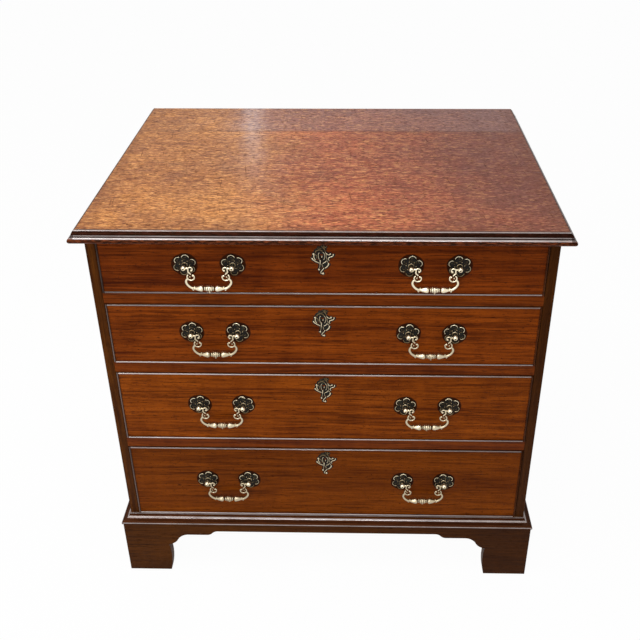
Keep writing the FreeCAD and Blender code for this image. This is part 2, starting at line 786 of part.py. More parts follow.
def drawer_front(number):
    """A drawer front: rebated for cockbeads, socketed for the tails, grooved, and cut for lock and key."""
    body = new_body(f"drawer_{number}_front")
    wood_top, _, _ = drawer_heights(number)
    low = size.drawer_gap
    face = sketch_on(body, "XZ_Plane", "face")
    draw_rectangle(face, -half_drawer, low, half_drawer, wood_top)
    pad(body, face, size.front_thick, backwards=True)
    seats = sketch_on(body, "XZ_Plane", "bead_seats")
    inner = half_drawer - size.bead_width
    corners = [
        (-half_drawer - SPARE, low - SPARE),
        (half_drawer + SPARE, low - SPARE),
        (half_drawer + SPARE, wood_top + SPARE),
        (inner, wood_top + SPARE),
        (inner, low + size.bead_width),
        (-inner, low + size.bead_width),
        (-inner, wood_top + SPARE),
        (-half_drawer - SPARE, wood_top + SPARE),
    ]
    draw(seats, corners)
    pocket(body, seats, size.bead_seat)
    for hand, name in ((-1, "left"), (1, "right")):
        sockets = sketch_on(body, "YZ_Plane", f"sockets_{name}", half_drawer * hand)
        for outline in front_tails(number):
            draw(sockets, outline)
        pocket(body, sockets, size.lining_thick, along_normal=hand < 0)
    back_face = -size.front_thick
    groove = sketch_on(body, "XZ_Plane", "groove", back_face)
    reach = half_drawer - size.lining_thick + size.groove_depth
    draw_rectangle(groove, -reach, groove_low, reach, back_low)
    pocket(body, groove, size.groove_depth, along_normal=True)
    recess = sketch_on(body, "XZ_Plane", "lock_recess", back_face)
    half_lock = size.lock_width / 2
    draw_rectangle(recess, -half_lock, wood_top - size.lock_height, half_lock, wood_top + SPARE)
    pocket(body, recess, size.lock_thick, along_normal=True)
    holes = sketch_on(body, "XZ_Plane", "holes")
    draw_keyhole(holes, key_height(number))
    for x, _ in post_places():
        draw_square(holes, x, post_height(number), size.shank_size / 2 + size.shank_gap)
    pocket(body, holes, size.front_thick)
    place(body, 0, case_front, drawer_floor[number])
    return keep(body)


def drawer_side(number, hand):
    """A drawer side with its tails at the front, its sockets at the back and the groove for the bottom."""
    body = new_body(f"drawer_{number}_side_{'right' if hand > 0 else 'left'}")
    _, side_top, _ = drawer_heights(number)
    outer = half_drawer * hand
    face = sketch_on(body, "YZ_Plane", "face", outer)
    draw_rectangle(face, size.front_thick, size.run_gap, size.drawer_depth, side_top)
    pad(body, face, size.lining_thick, backwards=hand > 0)
    tails = sketch_on(body, "YZ_Plane", "tails", outer)
    for outline in front_tails(number):
        draw(tails, outline)
    pad(body, tails, size.lining_thick, backwards=hand > 0)
    pins = sketch_on(body, "YZ_Plane", "pin_sockets", outer)
    for outline in back_pins(number):
        draw(pins, outline)
    pocket(body, pins, size.lining_thick, along_normal=hand < 0)
    inner = (half_drawer - size.lining_thick) * hand
    groove = sketch_on(body, "YZ_Plane", "groove", inner)
    groove_front = size.front_thick - size.groove_depth
    draw_rectangle(groove, groove_front, groove_low, size.drawer_depth + SPARE, back_low)
    pocket(body, groove, size.groove_depth, along_normal=hand > 0)
    place(body, 0, case_front, drawer_floor[number])
    return body


def drawer_back(number):
    """A drawer back that stands on the bottom, with its pins in the two sides."""
    body = new_body(f"drawer_{number}_back")
    _, _, back_top = drawer_heights(number)
    inner = size.drawer_depth - size.lining_thick
    reach = half_drawer - size.lining_thick
    face = sketch_on(body, "XZ_Plane", "face", -inner)
    draw_rectangle(face, -reach, back_low, reach, back_top)
    pad(body, face, size.lining_thick, backwards=True)
    for hand, name in ((-1, "left"), (1, "right")):
        pins = sketch_on(body, "YZ_Plane", f"pins_{name}", reach * hand)
        for outline in back_pins(number):
            draw(pins, outline)
        pad(body, pins, size.lining_thick, backwards=hand < 0)
    place(body, 0, case_front, drawer_floor[number])
    return keep(body)


def drawer_bottom(number):
    """The thin board that slides into the grooves from behind, under the drawer back."""
    reach = half_drawer - size.lining_thick + size.groove_depth - size.panel_slack
    front_edge = size.front_thick - size.groove_depth + size.panel_slack
    corner = (-reach, case_front + front_edge, drawer_floor[number] + groove_low)
    lengths = (reach * 2, size.drawer_depth - front_edge, size.panel_thick)
    return keep(board(f"drawer_{number}_bottom", corner, lengths))


def bead_strip(name, length, seat, turn, position, notched=False):
    """A cockbead strip: bevelled nose in front, outer face at z = 0 and mitred inwards at both ends."""
    body = new_body(name)
    width = size.bead_width
    bevel = size.bead_bevel
    section = sketch_on(body, "YZ_Plane", "section")
    corners = [
        (seat, 0),
        (seat, width),
        (bevel - size.bead_out, width),
        (-size.bead_out, width - bevel),
        (-size.bead_out, bevel),
        (bevel - size.bead_out, 0),
    ]
    draw(section, corners)
    pad(body, section, length, side="Symmetric")
    mitres = sketch_on(body, "XZ_Plane", "mitres", size.bead_out)
    for hand in (1, -1):
        end = (length / 2) * hand
        spare = as_size(SPARE)
        outer = (length / 2 + spare) * hand
        inner = end - (width + spare) * hand
        draw(mitres, [(outer, -spare), (inner, width + spare), (outer, width + spare)])
    pocket(body, mitres, size.bead_out + size.bead_seat)
    if notched:
        notch = sketch_on(body, "XY_Plane", "lock_notch")
        half_lock = size.lock_width / 2
        draw_rectangle(notch, -half_lock, size.front_thick - size.lock_thick, half_lock, seat + SPARE)
        pocket(body, notch)
    body.Placement = FreeCAD.Placement(FreeCAD.Vector(), FreeCAD.Rotation(FreeCAD.Vector(0, 1, 0), turn))
    place(body, *position)
    return body


def cockbeads(number):
    """The four strips round one drawer front; the top one caps the full thickness of the wood."""
    across = half_drawer * 2
    upright = opening[number] - size.drawer_gap * 2
    middle = drawer_floor[number] + opening[number] / 2
    low = drawer_floor[number] + size.drawer_gap
    high = drawer_floor[number] + opening[number] - size.drawer_gap
    name = f"bead_{number}"
    strips = [
        bead_strip(f"{name}_bottom", across, size.bead_seat, 0, (0, case_front, low)),
        bead_strip(f"{name}_left", upright, size.bead_seat, 90, (-half_drawer, case_front, middle)),
        bead_strip(f"{name}_right", upright, size.bead_seat, -90, (half_drawer, case_front, middle)),
        bead_strip(f"{name}_top", across, size.front_thick, 180, (0, case_front, high), notched=True),
    ]
    return group(f"drawer_{number}_cockbeads", strips)


# ---- the locks ----


def lock(number):
    """A till lock let into the back of a drawer front, with a slot for its bolt and a keyhole."""
    body = new_body(f"drawer_{number}_lock")
    wood_top, _, _ = drawer_heights(number)
    top = opening[number] - size.drawer_gap
    half_lock = size.lock_width / 2
    front_face = size.lock_thick - size.front_thick
    case = sketch_on(body, "XZ_Plane", "case", front_face)
    draw_rectangle(case, -half_lock, wood_top - size.lock_height, half_lock, top)
    pad(body, case, size.lock_thick, backwards=True)
    slot = sketch_on(body, "XY_Plane", "slot", top)
    across = size.bolt_width / 2 + size.bolt_play
    reach = size.bolt_thick / 2 + size.bolt_play
    draw_rectangle(slot, -across, bolt_depth - reach, across, bolt_depth + reach)
    pocket(body, slot, size.bolt_height + size.bolt_play)
    keyhole = sketch_on(body, "XZ_Plane", "keyhole", front_face)
    low_key = key_height(number) - size.key_length
    draw_rectangle(keyhole, -size.key_slot, low_key, size.key_slot, key_height(number) + size.key_radius)
    pocket(body, keyhole, size.lock_thick / 2)
    place(body, 0, case_front, drawer_floor[number])
    return keep(body)


def lock_bolt(number):
    """The bolt of a lock, drawn back so that its end is flush with the lock."""
    top = drawer_floor[number] + opening[number] - size.drawer_gap
    low_y = case_front + bolt_depth - size.bolt_thick / 2
    corner = (-size.bolt_width / 2, low_y, top - size.bolt_height)
    lengths = (size.bolt_width, size.bolt_thick, size.bolt_height)
    return keep(board(f"drawer_{number}_lock_bolt", corner, lengths))


def escutcheon(number):
    """A pierced rococo keyhole plate: leaf above, scroll to the left, horn to the right, tail below."""
    body = new_body(f"drawer_{number}_escutcheon")
    # x and z of the corners from the keyhole, in hundredths of the height of the plate
    outline = [
        (15.5, 36),
        (9, 26),
        (16, 6),
        (25, 5),
        (33, 11),
        (36, 2),
        (19, -8),
        (22, -18),
        (8, -38),
        (9, -54),
        (0, -62),
        (-6, -36),
        (-17, -17),
        (-28, -9),
        (-25, -2),
        (-18, -4),
        (-23, 8),
        (-14, 18),
        (-5, 24),
        (-1, 38),
        (6, 29),
    ]
    piercings = [
        [(-16, 4), (-10, 2), (-8, 11), (-13, 12)],
        [(10, -12), (14, -20), (8, -26), (5, -18)],
    ]
    unit = size.escutcheon_height / 100

    def scaled(corners):
        return [(unit * x, key_height(number) + unit * z) for x, z in corners]

    face = sketch_on(body, "XZ_Plane", "face")
    draw(face, scaled(outline))
    pad(body, face, size.escutcheon_thick)
    openings = sketch_on(body, "XZ_Plane", "openings")
    draw_keyhole(openings, key_height(number))
    for corners in piercings:
        draw(openings, scaled(corners))
    pocket(body, openings)
    place(body, 0, case_front, drawer_floor[number])
    return keep(body)


# ---- the handles ----


def rosette():
    """A rosette of six blunt petals, its back at y = 0 and its middle on the origin."""
    body = new_body("rosette")
    outline = []
    for index in range(PETALS):
        turn = 2 * math.pi * index / PETALS
        tip = (size.rosette_radius * math.cos(turn), size.rosette_radius * math.sin(turn))
        half = (size.petal_half * math.sin(turn), size.petal_half * math.cos(turn))
        notch = turn + math.pi / PETALS
        outline.append((tip[0] + half[0], tip[1] - half[1]))
        outline.append((tip[0] - half[0], tip[1] + half[1]))
        outline.append((size.rosette_valley * math.cos(notch), size.rosette_valley * math.sin(notch)))
    face = sketch_on(body, "XZ_Plane", "face")
    draw(face, outline)
    draw_square(face, as_size(0), as_size(0), size.shank_size / 2 + size.shank_gap)
    pad(body, face, size.rosette_thick)
    return body


def post():
    """A post: a square shank, and an eight-sided knob drilled from one side for the pin of the bail."""
    body = new_body("post")
    seat = size.rosette_thick
    zero = as_size(0)
    shank = sketch_on(body, "XZ_Plane", "shank", seat)
    draw_square(shank, zero, zero, size.shank_size / 2)
    pad(body, shank, seat + size.front_thick + size.nut_thick + size.shank_end, backwards=True)
    knob = sketch_on(body, "XZ_Plane", "knob", seat)
    draw_octagon(knob, zero, zero, size.knob_radius)
    pad(body, knob, size.pivot_out + size.knob_reach - seat)
    drilling = sketch_on(body, "YZ_Plane", "drilling", -size.pin_past)
    draw_octagon(drilling, -size.pivot_out, zero, size.pin_radius + size.pin_gap)
    pocket(body, drilling, size.pin_past + size.knob_radius + SPARE, along_normal=True)
    return body


def nut():
    """A square nut behind the drawer front, on the origin's axis."""
    body = new_body("nut")
    face = sketch_on(body, "XZ_Plane", "face")
    zero = as_size(0)
    draw_square(face, zero, zero, size.nut_size / 2)
    draw_square(face, zero, zero, size.shank_size / 2 + size.nut_gap)
    pad(body, face, size.nut_thick, backwards=True)
    return body


def handle_mounts(number, rosette_body, post_body, nut_body):
    """The rosettes, posts and nuts of one drawer: four of each, placed as linked copies."""
    members = []
    height = drawer_floor[number] + post_height(number)
    for index, (x, facing) in enumerate(post_places(), start=1):
        for source, depth in ((rosette_body, 0), (post_body, 0), (nut_body, size.front_thick)):
            link = doc.addObject("App::Link", f"{source.Name}_{number}_{index}")
            link.LinkedObject = source
            half_turn = FreeCAD.Rotation(FreeCAD.Vector(0, 1, 0), 180 if facing < 0 else 0)
            link.Placement = FreeCAD.Placement(FreeCAD.Vector(), half_turn)
            place(link, x, case_front + depth, height)
            members.append(link)
    return group(f"drawer_{number}_handle_mounts", members)


def bar_profile():
    """Half of the outline of the bar of a bail, from its middle to its left end: place and size."""
    left_end = size.bend_inset - size.handle_pitch / 2
    return [
        (as_size(0), size.knop_size),
        (-size.knop_half, size.bar_waist),
        (-size.swell_at, size.bar_swell),
        (left_end, size.bar_end),
    ]


def bar_outline(axis):
    """Both edges of the left half of the bar, above and below its axis."""
    profile = bar_profile()
    upper = [(x, radius + axis) for x, radius in profile]
    lower = [(x, axis - radius) for x, radius in profile]
    return upper + lower[::-1]


def bail(number, hand):
    """A swan-neck bail that hangs from its two pins, its origin midway between the posts on their axis."""
    body = new_body(f"drawer_{number}_bail_{'right' if hand > 0 else 'left'}")
    post_x = -size.handle_pitch / 2
    pin = sketch_on(body, "YZ_Plane", "pin", post_x - size.pin_past + size.pin_end_play)
    draw_circle(pin, 0, 0, size.pin_radius)
    hook_back = size.hook_inset - size.hook_radius
    halves = [pad(body, pin, hook_back + size.pin_past - size.pin_end_play)]

    hook = sketch_on(body, "XZ_Plane", "hook")
    hook_middle = (post_x + size.hook_inset, -size.hook_fall)
    draw_band(hook, *hook_middle, size.hook_radius, size.hook_width, HOOK_START, HOOK_SWEEP, HOOK_FLATS)
    ring = sketch_on(body, "XZ_Plane", "ring")
    ring_middle = (post_x + size.ring_inset, -size.ring_fall)
    draw(ring, flats(*ring_middle, size.ring_radius + size.ring_width / 2, 0, 360, RING_FLATS)[:-1])
    draw(ring, flats(*ring_middle, size.ring_radius - size.ring_width / 2, 0, 360, RING_FLATS)[:-1])
    stem = sketch_on(body, "XZ_Plane", "stem")
    hook_end = HOOK_START + HOOK_SWEEP
    outer_root = flats(*hook_middle, size.hook_radius + size.hook_width / 2, hook_end, 0, 1)[0]
    inner_root = flats(*hook_middle, size.hook_radius - size.hook_width / 2, hook_end, 0, 1)[0]
    ring_top = size.ring_radius - size.ring_fall
    ring_side = (ring_middle[0] - size.ring_width * STEM_SIDE, ring_top - size.ring_width * STEM_SINK)
    draw(stem, [outer_root, ring_side, (ring_middle[0], ring_top), inner_root])
    bend = sketch_on(body, "XZ_Plane", "bend")
    bend_x = post_x + size.bend_inset
    bend_z = size.bend_radius - size.bail_drop
    draw_band(bend, bend_x, bend_z, size.bend_radius, size.bend_width, BEND_START, BEND_SWEEP, BEND_FLATS)
    for part in (hook, ring, stem, bend):
        halves.append(pad(body, part, size.bail_thick, side="Symmetric"))

    leaf = sketch_on(body, "XZ_Plane", "leaf")
    corners = [
        (bend_x - size.bend_width, -size.bail_drop),
        (bend_x - size.bend_width / 2, -size.bail_drop - size.leaf_drop),
        (bend_x + size.bend_width, -size.bail_drop),
    ]
    draw(leaf, corners)
    halves.append(pad(body, leaf, size.bail_thick / 2, side="Symmetric"))
    bar = sketch_on(body, "XZ_Plane", "bar")
    draw(bar, bar_outline(-size.bail_drop))
    halves.append(pad(body, bar, size.bar_swell * 2, side="Symmetric"))
    flanks = sketch_on(body, "XY_Plane", "bar_flanks")
    middle, *profile = bar_profile()
    for side in (1, -1):
        edge = [(x, radius * side) for x, radius in (middle, *profile)]
        far = (size.bar_swell + SPARE) * side
        draw(flanks, edge + [(profile[-1][0], far), (middle[0], far)])
    halves.append(pocket(body, flanks))
    mirrored = body.newObject("PartDesign::Mirrored", f"{body.Name}_mirrored")
    mirrored.Originals = halves
    mirrored.MirrorPlane = (origin_plane(body, "YZ_Plane"), [""])
    body.Tip = mirrored
    height = drawer_floor[number] + post_height(number)
    place(body, size.handle_centre * hand, case_front - size.pivot_out, height)
    return keep(body)


# ---- the whole chest ----

top_board()
case_side("side_left", -1)
case_side("side_right", 1)
group("back_boards", [back_board(index, BACK_BOARDS) for index in range(BACK_BOARDS)])
half_bottom = half_inside + size.housing_depth
bottom_corner = (-half_bottom, case_front, size.plinth_height)
bottom_lengths = (half_bottom * 2, size.case_depth - size.back_thick, size.bottom_thick)
keep(board("bottom_board", bottom_corner, bottom_lengths))
group("drawer_rails", [rail(number) for number in (1, 2, 3)])
group("drawer_runners", [runner(number, hand) for number in (1, 2, 3) for hand in (-1, 1)])
group("drawer_stops", [drawer_stop(number, hand) for number in (1, 2, 3, 4) for hand in (-1, 1)])
base_moulding_front()
base_moulding_end("base_moulding_left", -1)
base_moulding_end("base_moulding_right", 1)
plinth_front()
plinth_end("plinth_left", -1)
plinth_end("plinth_right", 1)
group("back_brackets", [back_bracket(hand) for hand in (-1, 1)])
group("foot_blocks", [foot_block(hand, rear) for hand in (-1, 1) for rear in (False, True)])

rosette_body = rosette()
post_body = post()
nut_body = nut()
for number in (1, 2, 3, 4):
    drawer_front(number)
    group(f"drawer_{number}_sides", [drawer_side(number, hand) for hand in (-1, 1)])
    drawer_back(number)
    drawer_bottom(number)
    cockbeads(number)
    lock(number)
    lock_bolt(number)
    escutcheon(number)
    handle_mounts(number, rosette_body, post_body, nut_body)
    bail(number, -1)
    bail(number, 1)

doc.recompute()

for thing in doc.Objects:
    if {"Invalid", "Error"} & set(thing.State):
        raise RuntimeError(f"{thing.Name} failed to recompute: {thing.State}")
for cut in cuts:
    if cut.BaseFeature.Shape.Volume - cut.Shape.Volume < 1e-3:
        raise RuntimeError(f"{cut.Name} cuts nothing")
for piece in sub_parts:
    if piece.Shape.isNull() or not piece.Shape.isValid():
        raise RuntimeError(f"{piece.Label} has no valid shape")

os.makedirs("parts", exist_ok=True)
for piece in sub_parts:
    piece.Shape.exportStep(f"parts/{piece.Label}.step")
print(len(sub_parts), "sub-parts written")
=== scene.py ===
import math
from functools import reduce

import bmesh
import bpy
import numpy as np
from mathutils import Matrix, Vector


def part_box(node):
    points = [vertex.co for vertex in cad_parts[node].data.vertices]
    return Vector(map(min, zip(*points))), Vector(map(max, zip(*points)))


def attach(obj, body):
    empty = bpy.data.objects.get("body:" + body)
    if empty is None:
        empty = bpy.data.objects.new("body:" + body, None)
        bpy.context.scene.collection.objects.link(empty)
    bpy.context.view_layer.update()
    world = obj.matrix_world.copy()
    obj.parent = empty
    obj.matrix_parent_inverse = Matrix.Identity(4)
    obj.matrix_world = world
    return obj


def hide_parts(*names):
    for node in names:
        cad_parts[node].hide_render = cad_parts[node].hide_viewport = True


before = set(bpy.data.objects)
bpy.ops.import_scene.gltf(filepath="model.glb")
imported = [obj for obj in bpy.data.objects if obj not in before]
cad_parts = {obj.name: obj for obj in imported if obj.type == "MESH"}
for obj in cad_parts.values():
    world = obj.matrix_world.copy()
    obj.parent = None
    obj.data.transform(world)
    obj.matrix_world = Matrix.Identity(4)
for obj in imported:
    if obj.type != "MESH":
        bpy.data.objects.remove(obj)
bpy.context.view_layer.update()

bl_info = {
    "name": "Bachelors Chest",
    "version": (1, 0, 0),
    "blender": (4, 5, 0),
    "location": "3D View > Sidebar > Chest",
    "description": "Dresses a mahogany chest of four long drawers in wood and cast brass",
    "category": "Object",
}

MM = 0.001
DRAWERS = (1, 2, 3, 4)
# for each drawer from the top down: tone of its front, strength of its figure,
# how far its red leans to yellow, and how brightly its bails are rubbed
FRONT_DEPTHS = (0.77, 0.88, 0.98, 0.84)
FRONT_STREAKS = (0.95, 1.1, 1, 0.65)
FRONT_GOLD = (0.92, 1, 1.1, 1.15)
BAIL_SHINE = (0.9, 0.5, 0.55, 0.42)
BAIL_RISE = 0.0036  # how far a bail reaches above its pins
BACK_BOARDS = 4
SIDE_NAMES = {-1: "left", 1: "right"}


# ---- sizes and colours that a user may change ----


def length(label, description, default):
    """A size in metres."""
    return bpy.props.FloatProperty(
        name=label, description=description, default=default, unit="LENGTH", precision=4
    )


def colour(label, description, default):
    """A colour in linear red, green and blue."""
    return bpy.props.FloatVectorProperty(
        name=label, description=description, default=default, subtype="COLOR", size=3, min=0, max=1
    )


class ChestSizes(bpy.types.PropertyGroup):
    """Sizes of the dressed pieces."""

    post_pitch: length("Post pitch", "Between the two posts of a handle", 0.078)
    handle_centre: length("Handle centre", "Middle of the chest to the middle of a handle", 0.183)
    pivot_out: length("Pivot out", "Drawer front to the axis of a bail", 0.012)
    bail_drop: length("Bail drop", "Axis of the pins to the axis of the bar", 0.038)
    edge_ease: length("Edge ease", "Width of the worn edges of the wood", 0.0006)
    bead_round: length("Bead round", "Rounding of the nose of a cockbead", 0.0009)


class ChestColours(bpy.types.PropertyGroup):
    """Colours of the finishes."""

    top_pale: colour("Faded top", "Where light has bleached the top", (0.67, 0.275, 0.075))
    top_deep: colour("Deep top", "Where the top keeps its red", (0.27, 0.085, 0.034))
    front_pale: colour("Front figure", "Pale figure of the drawer fronts", (0.285, 0.057, 0.004))
    front_deep: colour("Front ground", "Deep ground of the drawer fronts", (0.052, 0.0055, 0.0006))
    case_pale: colour("Case figure", "Pale figure of the case", (0.088, 0.026, 0.0028))
    case_deep: colour("Case ground", "Deep ground of the case", (0.027, 0.0068, 0.0009))
    mould_pale: colour("Moulding figure", "Pale figure of mouldings and beads", (0.075, 0.022, 0.007))
    mould_deep: colour("Moulding ground", "Deep ground of mouldings and beads", (0.018, 0.005, 0.002))
    # the rubbed crests are a painted highlight, partly real wear
    mould_worn_highlight: colour("Worn moulding", "Rubbed crests of mouldings and beads", (0.5, 0.43, 0.41))
    oak_pale: colour("Oak", "Clean oak of the linings", (0.46, 0.29, 0.145))
    oak_deep: colour("Oak pores", "Dark grain of the oak", (0.24, 0.13, 0.058))
    pine_pale: colour("Pine", "Clean pine of the back and bottom", (0.43, 0.26, 0.12))
    pine_deep: colour("Pine rings", "Late wood of the pine", (0.27, 0.125, 0.046))
    brass_bright: colour("Rubbed brass", "Brass where hands have rubbed it", (0.95, 0.84, 0.61))
    brass_dull: colour("Dull brass", "Brass with an old skin", (0.22, 0.15, 0.07))
    # the dirt colour is also painted shade round the escutcheon's strokes and beads, in its openings and
    # along the sides of the bails' rods
    brass_dark: colour("Brass dirt", "Dirt in the hollows of the brass", (0.006, 0.0045, 0.003))
    iron: colour("Iron", "Iron of the lock bolts", (0.3, 0.29, 0.28))


# ---- surfaces ----


def smooth_line(points, count):
    """Catmull-Rom line: cubics whose slope at each point is half the step between its neighbours."""
    given = np.asarray(points, float)
    padded = np.vstack([2 * given[0] - given[1], given, 2 * given[-1] - given[-2]])
    place = np.linspace(0, len(given) - 1, count)
    span = np.minimum(place.astype(int), len(given) - 2)
    step = (place - span)[:, None]
    before, start, finish, after = (padded[span + offset] for offset in range(4))
    return 0.5 * (
        2 * start
        + (finish - before) * step
        + (2 * before - 5 * start + 4 * finish - after) * step**2
        + (3 * start - before - 3 * finish + after) * step**3
    )


def scroll_line(centre, radii, angles, count):
    """Spiral: the radius and the angle in degrees both change evenly from one end to the other."""
    angle = np.radians(np.linspace(*angles, count))[:, None]
    radius = np.linspace(*radii, count)[:, None]
    return centre + radius * np.hstack([np.cos(angle), np.sin(angle)])


def spot(radius, angle):
    """The point at a radius from the origin and at an angle in degrees."""
    return scroll_line((0, 0), (radius, radius), (angle, angle), 2)[0]


def blunt_ends(count, share):
    """Factors that rise from 0 to 1 over a share of the length at both ends, as a quarter circle does."""
    place = np.linspace(0, 1, count)
    nearer = np.minimum(place, 1 - place) / share
    return np.sqrt(1 - (1 - np.clip(nearer, 0, 1)) ** 2)


def tapered(line, taper, ends):
    """A size for each point of a line: it changes evenly and is blunt at both ends."""
    return (blunt_ends(len(line), ends) * np.linspace(*taper, len(line)))[:, None]


def normals_of(line):
    """The directions at right angles to a flat line, to its left, one row for each point."""
    along = np.gradient(line, axis=0)
    along /= np.linalg.norm(along, axis=1, keepdims=True)
    return np.stack([-along[:, 1], along[:, 0]], axis=-1)[:, None, :]


# across, height and relief of half the section of a raised stroke, from its foot to its crest
HALF_SECTION = [(1, 0, 0), (0.92, 0.16, 0), (0.66, 0.34, 0.1), (0.5, 0.72, 0.62), (0.22, 0.96, 1)]
OTHER_HALF = [(-across, height, relief) for across, height, relief in HALF_SECTION]
STROKE_SECTION = np.array(OTHER_HALF + HALF_SECTION[::-1])
ROD_SIDES = 14
WELD = 2e-6  # points nearer than this, in metres, are one
SPECK = 1e-7  # an edge shorter than this, in metres, goes
FLAT_ANGLE = 0.5  # faces within this many degrees of each other are joined
BEVEL_ANGLE = 32  # edges sharper than this many degrees are worn round


class Casting:
    """Collects the closed surfaces of one cast piece, in millimetres: x across, y to the back, z up."""

    def __init__(self):
        self.points = []
        self.faces = []
        self.relief = []
        self.count = 0

    def add(self, grid, relief):
        """Add rings of points: each closes on itself, and the first and the last are points or caps."""
        rows, columns = grid.shape[:2]
        start = np.arange(rows - 1)[:, None] * columns
        column = np.arange(columns)
        following = (column + 1) % columns
        corners = (start + column, start + following, start + following + columns, start + column + columns)
        self.points.append(grid.reshape(-1, 3))
        self.relief.append(np.broadcast_to(relief, (rows, columns)).reshape(-1))
        self.faces.append(np.stack(corners, axis=-1).reshape(-1, 4) + self.count)
        self.count += rows * columns

    def sweep(self, line, width, across, lift, relief):
        """Rings at right angles to a flat line: how far their points go across it and stand out."""
        flat = line[:, None, :] + normals_of(line) * across[:, :, None] * width / 2
        self.add(np.stack([flat[..., 0], -lift, flat[..., 1]], axis=-1), relief)

    def stroke(self, line, width, height, base=0, taper=(1, 1), ends=0.14, shine=1):
        """A raised stroke on a plate: its section follows a line, tapers and ends blunt."""
        across, up, relief = STROKE_SECTION.T
        size = tapered(line, taper, ends)
        relief = relief * np.clip(size * 1.4, 0, 1) * shine
        self.sweep(line, width, size * across, base + size * up * height, relief)

    def rod(self, line, width, depth, taper=(1, 1), ends=0.1):
        """A free rod: ellipses at right angles to a flat line, closed blunt at its ends."""
        turn = np.linspace(0, 2 * np.pi, ROD_SIDES, endpoint=False)
        size = tapered(line, taper, ends)
        # relief: rubbed bright on its front, and painted shade along its sides and back that draws a dark
        # outline round it
        relief = 0.12 + 0.88 * np.clip(np.sin(turn) * 1.7 - 0.25, 0, 1)
        self.sweep(line, width, size * np.cos(turn), size * np.sin(turn) * depth / 2, relief)

    def turned(self, profile, axis, centre=(0, 0, 0), sides=20):
        """A turned form: each point of a profile (along, radius, relief) goes round the axis."""
        along, radius, relief = np.asarray(profile, float).T[:, :, None]
        turn = np.linspace(0, 2 * np.pi, sides, endpoint=False)
        one, other = radius * np.cos(turn), radius * np.sin(turn)
        straight = np.broadcast_to(along, one.shape)
        order = {"x": (straight, one, other), "y": (one, straight, other), "z": (one, other, straight)}
        self.add(np.stack(order[axis], axis=-1) + centre, relief)

    def bead(self, centre, radius, height, base=0, shine=1):
        """A round bead on a plate: half an ellipsoid, with a flat back."""
        profile = [(-base, 0, 0), (-base, radius, 0)]
        for angle in np.linspace(0, np.pi / 2, 6)[1:]:
            rise = math.sin(angle)
            profile.append((-base - height * rise, radius * math.cos(angle), shine * min(1, 1.3 * rise)))
        self.turned(profile, "y", (centre[0], 0, centre[1]), sides=14)

    def ball(self, centre, radius, squash=(1, 1, 1), shine=1):
        """A whole ellipsoid: rings of latitude between two poles."""
        angle = np.linspace(-np.pi / 2, np.pi / 2, 9)[:, None]
        turn = np.linspace(0, 2 * np.pi, 14, endpoint=False)
        latitude = np.stack([np.cos(angle), np.cos(angle), np.sin(angle)], axis=-1)
        ring = np.stack([np.cos(turn), np.sin(turn), np.ones_like(turn)], axis=-1)
        self.add(centre + radius * np.array(squash) * latitude * ring, shine)

    def place(self, other, offset, facing=1):
        """Add a casting, or this one again, at an offset and mirrored left to right where it faces about."""
        first = self.count
        for points, faces, relief in list(zip(other.points, other.faces, other.relief)):
            self.points.append(points * (facing, 1, 1) + offset)
            self.relief.append(relief)
            self.faces.append((faces[:, ::-1] if facing < 0 else faces) + first)
        self.count = first + other.count

    def piece(self, name, body, material, *nodes):
        """Make the mesh, smooth and with its relief as an attribute, and let it stand for its CAD nodes."""
        mesh = bpy.data.meshes.new(name)
        points = np.concatenate(self.points) * MM
        mesh.from_pydata(points.tolist(), [], np.concatenate(self.faces).tolist())
        relief = mesh.attributes.new("relief", "FLOAT", "POINT")
        relief.data.foreach_set("value", np.concatenate(self.relief).astype(np.float32))
        clean(mesh)
        thing = shown(mesh, name, material, crease=40)
        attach(thing, body)
        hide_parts(*nodes)


def clean(mesh, flat_angle=None):
    """Merge doubled points, drop what has no area and turn every face outwards."""
    work = bmesh.new()
    work.from_mesh(mesh)
    bmesh.ops.remove_doubles(work, verts=work.verts, dist=WELD)
    bmesh.ops.dissolve_degenerate(work, edges=work.edges, dist=SPECK)
    if flat_angle is not None:
        bmesh.ops.dissolve_limit(work, angle_limit=flat_angle, verts=work.verts, edges=work.edges)
    bmesh.ops.recalc_face_normals(work, faces=work.faces)
    work.to_mesh(mesh)
    work.free()


def shown(mesh, name, material, crease):
    """An object of a mesh, smooth but for the edges that are sharper than a crease in degrees."""
    mesh.materials.append(material)
    mesh.shade_smooth()
    mesh.set_sharp_from_angle(angle=math.radians(crease))
    thing = bpy.data.objects.new(name, mesh)
    bpy.context.scene.collection.objects.link(thing)
    return thing


def eased(node, name, body, material, width, segments=2):
    """A copy of a wooden CAD node, its flat faces joined and its corners worn round by a bevel."""
    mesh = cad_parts[node].data.copy()
    mesh.name = name
    clean(mesh, flat_angle=math.radians(FLAT_ANGLE))
    mesh.materials.clear()
    thing = shown(mesh, name, material, crease=30)
    worn = thing.modifiers.new("worn corners", "BEVEL")
    worn.width = width
    worn.segments = segments
    worn.limit_method = "ANGLE"
    worn.angle_limit = math.radians(BEVEL_ANGLE)
    worn.use_clamp_overlap = True
    worn.harden_normals = True
    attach(thing, body)
    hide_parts(node)


def dress(node, material):
    """Give a CAD node its finish."""
    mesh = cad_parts[node].data
    mesh.materials.clear()
    mesh.materials.append(material)


# ---- shader maths ----


def join(tree, item, socket):
    """Give a socket a link or a plain value."""
    if isinstance(item, Value):
        tree.links.new(item.socket, socket)
    else:
        socket.default_value = item


def maths(operation, turned_round=False):
    """A method of Value that adds one Math node; some take their two values the other way round."""

    def method(*items):
        tree = items[0].tree
        node = tree.nodes.new("ShaderNodeMath")
        node.operation = operation
        for socket, item in zip(node.inputs, items[::-1] if turned_round else items):
            join(tree, item, socket)
        return Value(tree, node.outputs[0])

    return method


